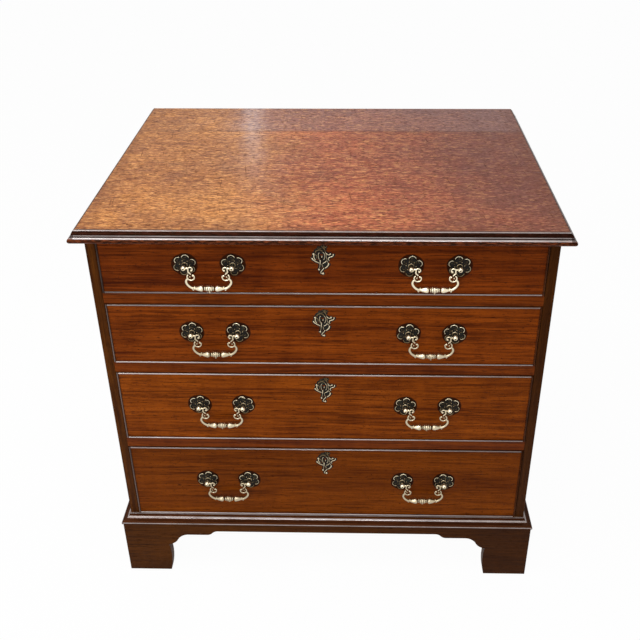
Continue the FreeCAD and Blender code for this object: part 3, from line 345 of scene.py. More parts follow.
class Value:
    """A socket in a node tree that takes part in arithmetic: every operation adds its Math node."""

    def __init__(self, tree, socket):
        self.tree = tree
        self.socket = socket

    __add__ = __radd__ = maths("ADD")
    __sub__ = maths("SUBTRACT")
    __rsub__ = maths("SUBTRACT", turned_round=True)
    __mul__ = __rmul__ = maths("MULTIPLY")
    __truediv__ = maths("DIVIDE")
    __abs__ = maths("ABSOLUTE")
    root = maths("SQRT")
    floor = maths("FLOOR")
    fract = maths("FRACT")
    over = maths("MAXIMUM")
    under = maths("MINIMUM")


class Finish:
    """A material in the making: its node tree, its shader, the object's coordinates and its colour so far."""

    def __init__(self, name, ground):
        self.material = bpy.data.materials.new(name)
        self.material.use_nodes = True
        self.tree = self.material.node_tree
        self.shader = self.tree.nodes["Principled BSDF"]
        self.coordinates = self.node("TexCoord", output="Object")
        self.body = ground

    def node(self, kind, inputs=None, output=0, **settings):
        """Any other node: its settings first, then the values or links of its sockets."""
        node = self.tree.nodes.new("ShaderNode" + kind)
        for key, value in settings.items():
            setattr(node, key, value)
        for key, value in (inputs or {}).items():
            join(self.tree, value, node.inputs[key])
        return Value(self.tree, node.outputs[output])

    def feed(self, **values):
        """Feed sockets of the shader, with _ for a space in their names, and hand over the material."""
        for key, value in values.items():
            join(self.tree, value, self.shader.inputs[key.replace("_", " ")])
        return self.material

    def axes(self, vector=None):
        """The three parts of a vector, or of the object's coordinates."""
        node = self.tree.nodes.new("ShaderNodeSeparateXYZ")
        join(self.tree, vector or self.coordinates, node.inputs[0])
        return [Value(self.tree, socket) for socket in node.outputs]

    def vector(self, x, y, z):
        return self.node("CombineXYZ", {0: x, 1: y, 2: z})

    def mapped(self, place, turn, shift):
        """Coordinates, turned and then shifted."""
        inputs = {"Vector": place, "Rotation": turn, "Location": shift}
        return self.node("Mapping", inputs, vector_type="POINT")

    def noise(self, scale, detail=2, roughness=0.5, distortion=0, place=None):
        """Noise over the object's coordinates or another place; three scales draw it out."""
        place = place or self.coordinates
        if isinstance(scale, tuple):
            place = self.node("VectorMath", {0: place, 1: scale}, operation="MULTIPLY")
            scale = 1
        inputs = {"Vector": place, "Scale": scale, "Detail": detail, "Roughness": roughness}
        return self.node("TexNoise", {**inputs, "Distortion": distortion})

    def ramp(self, value, low, high):
        """0 below low, 1 above high and a smooth step between; low may be the larger."""
        inputs = {"Value": value, "From Min": low, "From Max": high}
        return self.node("MapRange", inputs, interpolation_type="SMOOTHSTEP")

    def mix(self, factor, first, second, blend="MIX"):
        """A colour between two colours."""
        full = [item if isinstance(item, Value) else (*item, 1) for item in (first, second)]
        inputs = {0: factor, 6: full[0], 7: full[1]}
        return self.node("Mix", inputs, output=2, data_type="RGBA", blend_type=blend)

    def paint(self, mask, colour):
        """Lay a colour over what is there, where a mask says."""
        self.body = self.mix(mask, self.body, colour)

    def bump(self, height, distance, strength, **under):
        """The normal over a height, or over that on top of another Normal."""
        return self.node("Bump", {"Height": height, "Distance": distance, "Strength": strength, **under})


# ---- woods ----


def toned(colour, factor):
    """A plain colour, made darker or paler in all its parts."""
    return tuple(factor * part for part in colour)


def tones(kind, pale=1, deep=1):
    """The pale and the deep colour of a wood, each made darker or paler."""
    colours = bpy.context.scene.chest_colours
    return toned(getattr(colours, kind + "_pale"), pale), toned(getattr(colours, kind + "_deep"), deep)


VARNISH_TINT = (1, 0.34, 0.12, 1)  # old varnish throws back light in its own warm colour
GRAIN_TURNS = {"x": (0, 0, 0), "y": (0, 0, math.radians(-90)), "z": (0, math.radians(90), 0)}
MAHOGANY_PITH = (0, 0.16)  # place of the middle of the tree, across and deep, in metres
LINING_PITH = (0.02, 0.11)
BOARD_STEPS = (0.31, 0.017, 1.7)  # how far apart in the tree two boards side by side were cut
HANDLING_DIRT = (0.1, 0.055, 0.03)
JOINT_SHADOW = (0.012, 0.008, 0.005)


class Timber(Finish):
    """A board: its coordinates run along the grain, and its figure follows rings round a far pith."""

    def __init__(self, name, ground, along, shift, pith, board_width=0):
        super().__init__(name, ground)
        place = self.coordinates
        if board_width:
            index = (self.axes()[0] / board_width).floor()
            place = self.vector(*(part + index * step for part, step in zip(self.axes(), BOARD_STEPS)))
        self.board = self.mapped(place, GRAIN_TURNS[along], shift)
        self.length, across, deep = self.axes(self.board)
        sway = self.noise((1.6, 3.5, 3.5), place=self.board) - 0.5
        wander = self.noise((5, 24, 24), place=self.board) - 0.5
        across = across + sway * 0.07 + wander * 0.007 - pith[0]
        deep = deep + sway * 0.05 - pith[1]
        self.ring = (across * across + deep * deep).root()

    def growth(self, density, drift, detail=2):
        """Streaks that follow the rings: noise over the ring radius, drifting slowly along the grain."""
        place = self.vector(self.ring * density, self.length * drift, 0)
        return self.noise(1, detail, 0.6, place=place)

    def fibres(self, along, across, detail=2):
        """Noise drawn out along the grain."""
        return self.noise((along, across, across), detail, 0.6, place=self.board)


def mahogany(name, along, shift, pair, gloss, polish, streak=1, extra=None):
    """Polished mahogany: ring streaks, roe, mottle across the grain, short dark pores and smears."""
    pale, deep = pair
    wood = Timber(name, deep, along, shift, MAHOGANY_PITH)
    ramp, fibres = wood.ramp, wood.fibres
    broad = wood.growth(22, 0.7)
    streaks = wood.growth(130, 2.2, 3)
    roe = fibres(7, 190, 3)
    mottle = wood.noise((26, 9, 9), 3, distortion=0.6, place=wood.board)
    hair = fibres(22, 520)
    lines = ramp(fibres(11, 330), 0.55, 0.66)
    bright = ramp(fibres(8, 300), 0.44, 0.32)
    pores = ramp(fibres(75, 640, 1), 0.58, 0.7)
    smear = wood.noise(9, 4, 0.65)
    tone = broad * 0.7 + streaks * 0.9 + roe * 0.8 + mottle * 0.4 + hair * 0.5 - 1.65
    wood.paint(ramp(tone * streak + bright * 0.12, -0.5, 0.5), pale)
    wood.paint((pores * 0.45 + lines * 0.5).under(0.9), toned(deep, 0.45))
    wood.shine = gloss + (mottle - 0.5) * 0.16 + pores * 0.25 + (hair - 0.5) * 0.08 + (smear - 0.5) * 0.22
    wood.height = streaks * 0.25 + hair * 0.3 - pores * 0.9
    if extra:
        extra(wood)
    rough = wood.bump(wood.height, 0.00016, 0.5)
    waves = wood.bump(wood.noise(14), 0.0012, 0.3, Normal=rough)
    wood.feed(Base_Color=wood.body, Roughness=wood.shine.over(0.12), Normal=waves)
    return wood.feed(IOR=1.45, Specular_IOR_Level=polish, Specular_Tint=VARNISH_TINT)


def linings(name, along, shift, pine=False, board_width=0):
    """Bare oak or pine: rings, open pores or late wood, handling dirt and a dry rough surface."""
    pale, deep = tones("pine" if pine else "oak")
    wood = Timber(name, pale, along, shift, LINING_PITH, board_width)
    ramp, paint = wood.ramp, wood.paint
    rings = wood.growth(230 if pine else 420, 0.9)
    broad = wood.growth(38, 0.6)
    hair = wood.fibres(14, 700)
    coarse = wood.fibres(9, 240, 3)
    pores = ramp(wood.fibres(60, 900, 1), 0.56, 0.66)
    late = ramp(rings, 0.5, 0.6)
    dirt = ramp(wood.noise(7, 5, 0.7), 0.42, 0.72)
    paint((late * (0.8 if pine else 0.5) + broad * 0.25).under(1), deep)
    paint(ramp(coarse, 0.46, 0.68) * 0.45, deep)
    paint(pores * (0.2 if pine else 0.65), toned(deep, 0.45))
    paint(ramp(hair, 0.5, 0.75) * 0.4, toned(deep, 0.7))
    paint(dirt * 0.4, HANDLING_DIRT)
    if board_width:
        edge = (wood.axes()[0] / board_width).fract()
        paint(ramp(abs(edge - 0.5), 0.493, 0.497) * 0.9, JOINT_SHADOW)
    normal = wood.bump(hair * 0.4 + late * 0.3 + coarse * 0.4 - pores * 0.6, 0.0003, 0.6)
    wood.feed(Base_Color=wood.body, Roughness=0.62 + hair * 0.22 - dirt * 0.1, Normal=normal)
    return wood.feed(IOR=1.4, Specular_IOR_Level=0.2)


# ---- metals ----

VERDIGRIS = (0.04, 0.06, 0.04)


def cast_brass(name, shine=1):
    """Old cast brass: rubbed bright on its crests, dull brown on its slopes, and dirt in its hollows, after
    the relief of each point, which on rods, rosette rims and the escutcheon's web also holds painted light
    and shade.
    """
    colours = bpy.context.scene.chest_colours
    metal = Finish(name, colours.brass_dark)
    crest = metal.node("Attribute", output="Fac", attribute_name="relief")
    cloud = metal.noise(210, 4, 0.65)
    grain = metal.noise(1500, 3, 0.6)
    pits = metal.ramp(metal.noise(900), 0.62, 0.74)
    wear = crest + (cloud - 0.5) * 0.5 - pits * 0.3
    metal.paint(metal.ramp(wear, 0.12, 0.62), colours.brass_dull)
    metal.paint(metal.ramp(wear, 0.55, 1) * shine, colours.brass_bright)
    green = metal.ramp(metal.noise(130, 3), 0.56, 0.7)
    metal.paint(green * metal.ramp(crest, 0.7, 0.2) * 0.3, VERDIGRIS)
    roughness = 0.6 - metal.ramp(wear, 0.3, 1) * 0.28 + pits * 0.2
    normal = metal.bump(cloud * 0.5 + grain * 0.3 - pits * 0.6, 0.00018, 0.55)
    metal.feed(Base_Color=metal.body, Roughness=roughness, Normal=normal)
    return metal.feed(Metallic=metal.ramp(wear, 0.1, 0.55), Specular_IOR_Level=0.15)


def plain_metal(name, pale, dark):
    """Filed brass or iron that is handled little: brushed streaks, tarnish clouds and small pits."""
    metal = Finish(name, dark)
    cloud = metal.noise(90, 5, 0.65)
    file_marks = metal.noise((120, 120, 2600))
    pits = metal.ramp(metal.noise(800), 0.62, 0.75)
    metal.paint(metal.ramp(cloud, 0.35, 0.7), pale)
    metal.paint(pits * 0.6, toned(dark, 0.3))
    normal = metal.bump(file_marks * 0.5 - pits, 0.00012, 0.5)
    metal.feed(Base_Color=metal.body, Normal=normal, Metallic=1)
    return metal.feed(Roughness=0.34 + cloud * 0.25 + pits * 0.2)


# ---- wear of the wooden pieces ----

TOP_FLAT_END = 0.3895
TOP_FLAT_FRONT = 0.2795
TOP_BACK = 0.29
JOINT_PLACE = 0.153
SPLIT_PLACE = -0.045
CASE_FRONT = -0.27
BEAD_NOSE = -0.2725
BEAD_END = 0.3597
# of each crest with a painted highlight, partly rubbed wear: height of its middle and half its width in
# metres, and its strength
TOP_CRESTS = ((0.769, 0.0011, 1), (0.7609, 0.0011, 1), (0.7578, 0.0012, 1))
MOULDING_CRESTS = ((0.1428, 0.0007, 0.45), (0.1357, 0.0014, 1), (0.13, 0.0014, 0.85))
# turn in degrees, and scales along and across, of the runs of scratches
SCRATCH_RUNS = ((35, 24, 420), (-50, 30, 520), (82, 20, 460), (8, 26, 560))


def scratches(wood):
    """Short dents and scratches in a few directions: bands of drawn-out noise, each turned another way."""
    runs = []
    for turn, along, across in SCRATCH_RUNS:
        turned = wood.mapped(wood.coordinates, (0, 0, math.radians(turn)), (turn * 0.7, 0.3, 0))
        runs.append(wood.ramp(wood.noise((along, across, across), 1, 0.4, place=turned), 0.7, 0.78))
    return reduce(Value.over, runs)


def bands(wood, height, rows, fade):
    """Level bands of a moulding, each full in its middle and faded out at its half width."""
    return reduce(
        Value.over,
        [wood.ramp(abs(height - middle), half, half * fade) * share for middle, half, share in rows],
    )


def polish_and_highlight_crests(wood, crest, share):
    """The crests of a moulding: a painted highlight in a pale worn colour, partly real wear, and a clear coat
    of old wax that throws back the lamps.
    """
    wood.paint(crest * share, bpy.context.scene.chest_colours.mould_worn_highlight)
    wood.feed(Coat_Weight=crest, Coat_IOR=1.8, Coat_Roughness=0.16)


def worn_and_lit_top(wood):
    """The top: bleached on the left, red on the right, grey at the back and dented, with painted shade
    towards the right, a painted reflection of a window, painted shade on its moulded edge and painted
    highlights on its crests.
    """
    ramp, paint, noise, mix = wood.ramp, wood.paint, wood.noise, wood.mix
    x, y, z = wood.axes()
    cloud = noise(5, 4, 0.6)
    patch = noise(14, 4, 0.65)
    blotch = noise((20, 80, 60), 4, 0.7, 0.5)
    crazing = noise((80, 330, 150), 3, 0.7, 0.4)
    flecks = ramp(noise((125, 470, 300), 1), 0.55, 0.64)
    fine = noise((90, 90, 500), 3, 0.6)
    wobble = noise((4, 0, 0), 3) - 0.5
    marks = scratches(wood)
    # where light has bleached it and where it keeps its red, with painted shade that darkens it towards the
    # right and dims its pale patches there
    place = x + (cloud - 0.5) * 0.34 + y * 0.1
    shade = ramp(place, 0, 0.34)
    lit = 1 - shade * 0.65
    redder = mix(1, wood.body, (0.93, 0.57, 0.98), "MULTIPLY")
    paint(ramp(place, -0.2, 0.04) * 0.85, redder)
    paint(shade * 0.76, (0.115, 0.042, 0.04))
    paint(ramp(patch, 0.5, 0.72) * 0.4, (0.16, 0.07, 0.05))
    paint(ramp(blotch, 0.5, 0.68) * 0.42, (0.17, 0.055, 0.026))
    paint(ramp(blotch, 0.46, 0.3) * 0.35 * lit, (0.8, 0.4, 0.15))
    # the greyer board behind the joint, a painted reflection of a window in front of it, crazing and flecks
    line = y - JOINT_PLACE + wobble * 0.01
    behind = ramp(line, -0.004, 0.006) * ramp(x, -0.26, -0.14)
    paint(behind * 0.56, (0.25, 0.145, 0.14))
    window_reflection = ramp(abs(x + 0.139 + y * 0.11 + (patch - 0.5) * 0.02), 0.036, 0)
    paint(window_reflection * ramp(y, -0.16, 0.18) * 0.3, (0.75, 0.6, 0.58))
    paint(ramp(crazing, 0.5, 0.62) * 0.64, (0.1, 0.026, 0.011))
    paint(ramp(crazing, 0.47, 0.36) * 0.5 * lit, (0.98, 0.5, 0.18))
    paint(flecks * 0.72, (0.07, 0.02, 0.01))
    # its rim, joint, split and scratches
    rim_front = ramp(0 - y + (cloud - 0.5) * 0.02, 0.262, 0.28)
    rim = ramp(abs(x) + (cloud - 0.5) * 0.02, 0.352, 0.389).over(rim_front)
    paint(rim * 0.3, toned(bpy.context.scene.chest_colours.top_deep, 0.5))
    joint = ramp(abs(line), 0.006, 0.001) * 0.35
    split = ramp(abs(y - SPLIT_PLACE + wobble * 0.03), 0.0016, 0.0004) * ramp(x, 0.25, 0.36)
    paint(joint.over(split * 0.7).over(marks * 0.6), (0.05, 0.014, 0.01))
    # painted shade in the groove round it and on the upper part of its moulded edge above the nose, and its
    # sawn back
    outside = (abs(x) - TOP_FLAT_END).over(0 - y - TOP_FLAT_FRONT)
    paint(ramp(abs(outside + 0.0008), 0.001, 0.0004) * 0.85, (0.02, 0.008, 0.006))
    edge = ramp(outside, -0.0002, 0.0002)
    nose = mix(ramp(fine, 0.42, 0.62), (0.014, 0.004, 0.002), (0.13, 0.03, 0.01))
    # painted shade: the upper part of the moulded edge, above its nose, is near black
    hollow = mix(ramp(fine, 0.4, 0.7), (0.004, 0.0013, 0.0012), (0.026, 0.006, 0.004))
    paint(edge, mix(ramp(z, 0.757, 0.759), nose, hollow))
    sawn = mix(ramp(fine, 0.3, 0.7), (0.05, 0.016, 0.008), (0.13, 0.045, 0.02))
    paint(ramp(y, TOP_BACK - 0.0012, TOP_BACK - 0.0002), sawn)
    # painted highlights on the crests of the moulded edge, partly rubbed wear, weaker at its ends
    crest = bands(wood, z, TOP_CRESTS, 0.5) * edge * (0.45 + noise(26, 3) * 0.9).under(1)
    crest = crest * (1 - ramp(abs(x), TOP_FLAT_END, TOP_FLAT_END + 0.002) * 0.75)
    polish_and_highlight_crests(wood, crest, 0.85)
    wood.shine = wood.shine + marks * 0.2 + flecks * 0.15 - edge * 0.1
    wood.height = wood.height - joint - split * 2 - marks - flecks * 0.6


def shaded_front_edge(wood):
    """A case side: painted shade deepens its front edge, the more so on the right."""
    x, y, _ = wood.axes()
    edge = wood.ramp(y, CASE_FRONT + 0.0012, CASE_FRONT + 0.0004)
    wood.paint(edge * (0.32 + wood.ramp(x, -0.1, 0.1) * 0.38), (0.008, 0.002, 0.0007))


def shaded_to_the_right(wood):
    """The plinth: painted shade deepens its front towards the right, and all of it is deeper in tone along
    its lower edges.
    """
    x, y, z = wood.axes()
    shade = wood.ramp(x, -0.25, 0.35) * wood.ramp(y, CASE_FRONT, CASE_FRONT - 0.01) * 0.45
    wood.paint(shade.over(wood.ramp(z, 0.045, 0) * 0.45), (0.012, 0.003, 0.001))


def shining_moulding(wood):
    """The base moulding: painted highlights, partly rubbed wear, and a clear coat on its top bead, its hollow
    and its lip, and the rest is dark.
    """
    crest = bands(wood, wood.axes()[2], MOULDING_CRESTS, 0.4)
    polish_and_highlight_crests(wood, crest * (0.4 + wood.noise(30, 3) * 0.8).under(1), 0.85)


def shining_bead(wood):
    """A cockbead: a painted highlight, partly rubbed wear, with a clear coat, on the nose of its level runs
    and a little on its left upright, fading towards the right.
    """
    x, y, _ = wood.axes()
    level = wood.ramp(abs(x), BEAD_END, BEAD_END - 0.001)
    upright = wood.ramp(0 - x, BEAD_END, BEAD_END + 0.001) * 0.22
    crest = wood.ramp(y, BEAD_NOSE + 0.0011, BEAD_NOSE + 0.0002) * level.over(upright)
    patchy = (0.5 + wood.noise(40, 3) * 0.9).under(1)
    # the painted highlight fades towards the right
    polish_and_highlight_crests(wood, crest * patchy * (1 - wood.ramp(x, 0.05, 0.34) * 0.5), 0.8)


def pin_height(bail_node):
    """Height in metres of the axis that a bail turns on."""
    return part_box(bail_node)[1][2] - BAIL_RISE


def dirt_and_shade_round_handles(handle_height):
    """A worn drawer front: dents all over it, and dirt with painted shade in a dark ring round its rosettes.
    """

    def extra(wood):
        sizes = bpy.context.scene.chest_sizes
        x, y, z = wood.axes()
        from_post = abs(abs(x) - sizes.handle_centre) - sizes.post_pitch / 2
        rise = z - handle_height
        reach = (from_post * from_post + rise * rise).root()
        # dirt and painted shade: a dark ring round each rosette
        dirt = wood.ramp(reach + (wood.noise(60, 3) - 0.5) * 0.004, 0.0222, 0.0202)
        dents = scratches(wood)
        wood.paint(dirt * 0.9, (0.004, 0.0015, 0.001))
        wood.paint(dents * 0.7, (0.014, 0.003, 0.001))
        wood.shine += dirt * 0.1
        wood.height -= dents

    return extra


# ---- wooden pieces ----


def base_run(side, along, plinth_shift, moulding_shift, pair, ease):
    """Dress one run of the plinth and the moulding on it."""
    foot = mahogany(
        f"{side} plinth mahogany", along, (plinth_shift, 0.9, 0.3), pair, 0.5, 0.1, extra=shaded_to_the_right
    )
    eased(f"plinth_{side}", f"plinth_board_{side}", "carcase", foot, ease)
    shift = (moulding_shift, 0.1, 0.7)
    mitre = mahogany(
        f"{side} moulding mahogany", along, shift, tones("mould"), 0.25, 0.15, extra=shining_moulding
    )
    eased(f"base_moulding_{side}", f"base_moulding_run_{side}", "carcase", mitre, ease / 3)


class CHEST_OT_case(bpy.types.Operator):
    """Dress the case: moulded top, sides, rails, base mouldings and plinth"""

    bl_idname = "chest.case"
    bl_label = "Case"

    def execute(self, context):
        ease = context.scene.chest_sizes.edge_ease
        top = mahogany("top mahogany", "x", (0.31, 0.02, 0.4), tones("top"), 0.36, 0.14, extra=worn_and_lit_top)
        eased("top_board", "moulded_top", "carcase", top, ease)
        pair = tones("case", 1.7, 1.5)
        for hand, side in SIDE_NAMES.items():
            shift = (1.7 * hand, 0.4, 0.1)
            board = mahogany(f"{side} side mahogany", "z", shift, pair, 0.42, 0.12, extra=shaded_front_edge)
            eased(f"side_{side}", f"case_side_{side}", "carcase", board, ease)
            base_run(side, "y", 0.6 * hand, 0.2 * hand, pair, ease)
        base_run("front", "x", 2.6, 1.2, tones("case"), ease)
        rails = mahogany("rail mahogany", "x", (3.1, 0.4, 0.9), tones("front", 0.7, 0.8), 0.3, 0.2)
        dress("drawer_rails", rails)
        return {"FINISHED"}


class CHEST_OT_fronts(bpy.types.Operator):
    """Dress the drawer fronts and round the noses of their cockbeads"""

    bl_idname = "chest.fronts"
    bl_label = "Drawer fronts"

    def execute(self, context):
        bead_round = context.scene.chest_sizes.bead_round
        for number, depth, streak, gold in zip(DRAWERS, FRONT_DEPTHS, FRONT_STREAKS, FRONT_GOLD):
            handle_dirt_and_shade = dirt_and_shade_round_handles(pin_height(f"drawer_{number}_bail_left"))
            shift = (0.9 * number, 0.13 * number, 0.05 * number)
            pair = [(red, green * gold, blue) for red, green, blue in tones("front", depth, depth)]
            polish = 0.2 - 0.03 * number
            board = mahogany(f"drawer {number} mahogany", "x", shift, pair, 0.36, polish, streak, handle_dirt_and_shade)
            dress(f"drawer_{number}_front", board)
            bead = mahogany(
                f"drawer {number} bead mahogany", "x", shift, tones("mould"), 0.3, 0.15, extra=shining_bead
            )
            eased(
                f"drawer_{number}_cockbeads", f"drawer_{number}_rounded_beads", f"drawer_{number}",
                bead, bead_round, segments=4,
            )
        return {"FINISHED"}


class CHEST_OT_linings(bpy.types.Operator):
    """Dress what is hidden: oak linings and runners, pine back, bottom and glue blocks"""

    bl_idname = "chest.linings"
    bl_label = "Linings"

    def execute(self, context):
        for number in DRAWERS:
            shift = (0.37 * number, 0.21 * number, 0.11 * number)
            dress(f"drawer_{number}_sides", linings(f"drawer {number} side oak", "y", shift))
            dress(f"drawer_{number}_back", linings(f"drawer {number} back oak", "x", shift))
            dress(f"drawer_{number}_bottom", linings(f"drawer {number} bottom oak", "x", shift[::-1]))
        dress("drawer_runners", linings("runner oak", "y", (0.1, 0.2, 0.9)))
        dress("drawer_stops", linings("stop oak", "x", (0.5, 0.6, 0.2)))
        low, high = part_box("back_boards")
        width = (high[0] - low[0]) / BACK_BOARDS
        dress("back_boards", linings("back board pine", "z", (0.3, 0.5, 0.1), True, width))
        dress("bottom_board", linings("bottom board pine", "x", (0.8, 0.1, 0.5), True))
        dress("back_brackets", linings("rear bracket pine", "x", (0.2, 0.9, 0.4), True))
        dress("foot_blocks", linings("glue block pine", "z", (0.6, 0.3, 0.7), True))
        return {"FINISHED"}


# ---- escutcheons ----

# Each stroke: its width and height in millimetres, the share of its size at the end,
# and the points that it passes, x and z in millimetres from the keyhole.
PLATE_STROKES = (
    (3.6, 1.3, 0.9, ((-9.6, 6.2), (-8.2, 10.2), (-3.4, 12.7), (1, 11.4), (2.7, 8.8))),
    (2.6, 1.1, 0.9, ((-2.6, 7.8), (-4.4, 4.6), (-4.5, 0), (-3.9, -4), (-2.8, -7.2))),
    (2.6, 1.1, 0.9, ((2.6, 8.4), (5.2, 5.4), (6.2, 0.6), (5.4, -4.4), (3.2, -7.6))),
    (3.2, 1.35, 1, ((-1.4, -6.8), (-1.7, -11), (-2, -16.2))),
    (2.4, 1, 0.8, ((-2, -15), (-2.4, -19.5), (-3.2, -23), (-4, -25))),
    (3.8, 1.35, 0.75, ((-15.2, -4.6), (-12.6, -7.2), (-9.6, -9.6), (-6.2, -11.6), (-2.8, -13.4))),
    (3.4, 0.8, 0.8, ((-11.4, 3.4), (-12.2, -0.4), (-11.2, -4.4), (-9, -8))),
    (2.2, 0.8, 0.9, ((-10.8, 3.6), (-8.2, 2.2), (-6.9, -1), (-7.8, -4.6))),
    (2.6, 1, 0.9, ((1.2, 21), (2, 18.2), (3.8, 15.2))),
    (2.6, 1, 0.9, ((9.2, 19.6), (7.4, 17.2), (5, 15))),
    (3.4, 0.8, 0.9, ((5, 20.4), (4.9, 17.4), (4.2, 14.4))),
    (3, 1.2, 0.9, ((4, 15.4), (6.2, 12.6), (7.2, 10.4))),
    (2.4, 0.9, 0.8, ((-6.8, 15.4), (-3.6, 16.2), (-0.6, 15.2), (2.6, 14.4))),
    (3, 1.2, 0.9, ((8.6, 6.4), (10.2, 4), (12.8, 3), (15.6, 4.4))),
    (
        3.2, 1.3, 0.8,
        ((20, 5.2), (20.2, 2.6), (18.4, 0), (14.8, -1.4), (12.2, -3.6), (12.2, -6.4), (14, -8.8)),
    ),
    (2.4, 1, 0.9, ((6.6, 9.2), (8.2, 5.2), (8.6, 0), (9.4, -4.6), (10.4, -8))),
    (2.8, 1.1, 0.9, ((2, -14), (5.8, -11.6), (9, -8.6))),
    (2.6, 1.1, 0.9, ((8.6, -8), (10.4, -10.4), (11.8, -12.4))),
    (4, 1.4, 0.8, ((12.4, -13), (11.6, -17), (9, -20.8), (5.4, -23.4))),
    (2.4, 0.9, 0.8, ((1.2, -14.6), (1.8, -18.4), (2.6, -22))),
    (3, 1.15, 0.8, ((4.8, -22.6), (2, -26.4), (-0.6, -30.2), (-0.6, -33.2), (1.6, -34.4))),
)
PLATE_STRETCH = (0.97, 0.95)
PLATE_OFFSET = (-0.6, 1)
# x, z and radius of the beads of the escutcheon, and of the dark grounds that close its middle as painted
# shade in its openings
PLATE_BEADS = ((-12.4, 4.2, 1.9), (-3.8, -26, 1.7), (2.8, -33.9, 2), (15.4, 4.6, 1.5), (-15, -4.4, 1.5))
PLATE_GROUNDS = (
    (-6, 0.5, 4.6), (0.5, 9, 5), (4.6, -1.5, 4.4),
    (1, -8.5, 3.6), (5.5, -14.5, 4.6), (2, 14.5, 3.4),
)
# painted shade: the dark web draws the shade round each stroke
WEB = 3.4  # how much wider than a stroke the dark web is that it stands on
PLATE_TOP = 22  # from the keyhole to the top of the plate
HIGH_STROKES = 9  # above this height over the keyhole the strokes are less rubbed


def escutcheon():
    """A pierced keyhole plate of scroll strokes and beads, with the pin of the lock behind its keyhole."""
    plate = Casting()
    for width, height, end, points in PLATE_STROKES:
        line = smooth_line(points, 6 * len(points) + 2) * PLATE_STRETCH + PLATE_OFFSET
        # a dark web, wider than the stroke, as painted shade round it
        plate.stroke(line, width + WEB, 0.5, taper=(1, end), ends=0.1, shine=0)
        bold = (width - 2) / 2
        shine = min(1, 0.6 + bold) * (0.5 if line[:, 1].mean() > HIGH_STROKES else 1)
        plate.stroke(line, width * (0.75 + 0.3 * bold), height, base=0.35, taper=(1, end), shine=shine)
    for x, z, radius in PLATE_BEADS:
        middle = np.array((x, z)) * PLATE_STRETCH + PLATE_OFFSET
        # a dark ring under each bead, as painted shade round it
        plate.bead(middle, radius + 1.2, 0.5, shine=0)
        plate.bead(middle, radius, 1.4, base=0.3)
    # dark grounds that close the middle, as painted shade in its openings
    for x, z, radius in PLATE_GROUNDS:
        plate.bead((x, z), radius, 0.4, shine=0)
    plate.stroke(smooth_line(((0.9, 2.4), (0.2, -2.2)), 8), 2.4, 0.6, base=0.3, ends=0.3)
    return plate


class CHEST_OT_escutcheons(bpy.types.Operator):
    """Cast the four pierced escutcheons"""

    bl_idname = "chest.escutcheons"
    bl_label = "Escutcheons"

    def execute(self, context):
        metal = cast_brass("escutcheon brass", shine=0.6)
        plate = escutcheon()
        for number in DRAWERS:
            node = f"drawer_{number}_escutcheon"
            _, back, top = np.array(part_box(node)[1]) / MM
            casting = Casting()
            casting.place(plate, (0, back, top - PLATE_TOP))
            casting.piece(f"drawer_{number}_keyhole_plate", f"drawer_{number}", metal, node)
        return {"FINISHED"}


# ---- handles ----

PETALS = 6
FIRST_PETAL = 22  # its turn in degrees
PETAL_CIRCLE = 12.7  # radius in millimetres that the middles of the petals stand on
# along the axis, radius and relief, in millimetres
ROSETTE_BOSS = (
    (0, 0, 0), (0, 14, 0), (-0.5, 13.6, 0), (-0.7, 8, 0), (-1.2, 6.4, 0.2), (-1.5, 5.2, 0), (-1.6, 0, 0),
)
POST_COLLAR = [
    (-1.4, 2.1, 0.2), (-1.5, 4.4, 0.2), (-2.1, 4.9, 0.8),
    (-2.8, 4.4, 0.5), (-3.2, 3.2, 0.1), (-6.6, 2.6, 0.2),
]
PENDANT = (
    (-8.2, 0, 1), (-7.9, 1, 1), (-6.9, 1.7, 1), (-5.9, 1.2, 0.4),
    (-5.2, 2, 1), (-3, 2.6, 1), (-1, 2, 1), (0, 0, 1),
)
# place along the shank and half the width of the square rings of the nut
NUT_RINGS = ((20, 0), (20, 5.2), (20.3, 5.5), (23.7, 5.5), (24, 5.2), (24, 0))
SQUARE = np.array([(1, 1), (0, 1), (-1, 1), (-1, 0), (-1, -1), (0, -1), (1, -1), (1, 0)])


def rosette():
    """A rosette of C-scroll petals that swirl round a boss; its back at y = 0, its middle on the origin."""
    casting = Casting()
    for index in range(PETALS):
        turn = 360 // PETALS * index + FIRST_PETAL
        middle = spot(PETAL_CIRCLE, turn)
        casting.bead(middle, 7, 0.5, shine=0)
        rim = scroll_line(middle, (6, 5.6), (turn - 88, turn + 92), 26)
        # painted light: the rims of the upper petals are brighter, as light falls from above
        shine = 0.8 + 0.2 * math.sin(math.radians(turn))
        casting.stroke(rim, 2.9, 1.7, base=0.45, taper=(0.7, 1), shine=shine)
        curl = scroll_line(middle, (5.2, 2.9), (turn + 92, turn + 205), 16)
        casting.stroke(curl, 1.9, 1.2, base=0.4, taper=(0.9, 0.6), shine=0.42)
        inner = scroll_line(middle, (1.9, 1.5), (turn + 150, turn - 60), 12)
        casting.stroke(inner, 1.5, 0.9, base=0.45, taper=(0.6, 0.9), shine=0.48)
        casting.bead(spot(8, turn + 31), 1.2, 1.5, base=0.4, shine=0.65)
    casting.turned(ROSETTE_BOSS, "y", sides=28)
    return casting


def post():
    """A turned post: threaded shank, nut behind the front, collar, neck and ball, on the y axis."""
    casting = Casting()
    profile = [(26, 0, 0.2), (26, 1.9, 0.3)]
    for step in range(24):
        thread = (2.2, 0.4) if step % 2 else (1.85, 0.1)
        profile.append((25.5 - 0.5 * step, *thread))
    profile += POST_COLLAR
    for angle in np.radians(np.linspace(-62, 67, 12)):
        profile.append((-12.4 - 4.4 * math.sin(angle), 4.4 * math.cos(angle), 0.9))
    profile += [(-16.2, 1.4, 0.7), (-15.8, 1.1, 0), (-15.4, 0, 0)]
    casting.turned(profile, "y", sides=22)
    nut = [np.insert(reach * SQUARE, 1, along, axis=1) for along, reach in NUT_RINGS]
    casting.add(np.array(nut), 0.5)
    return casting


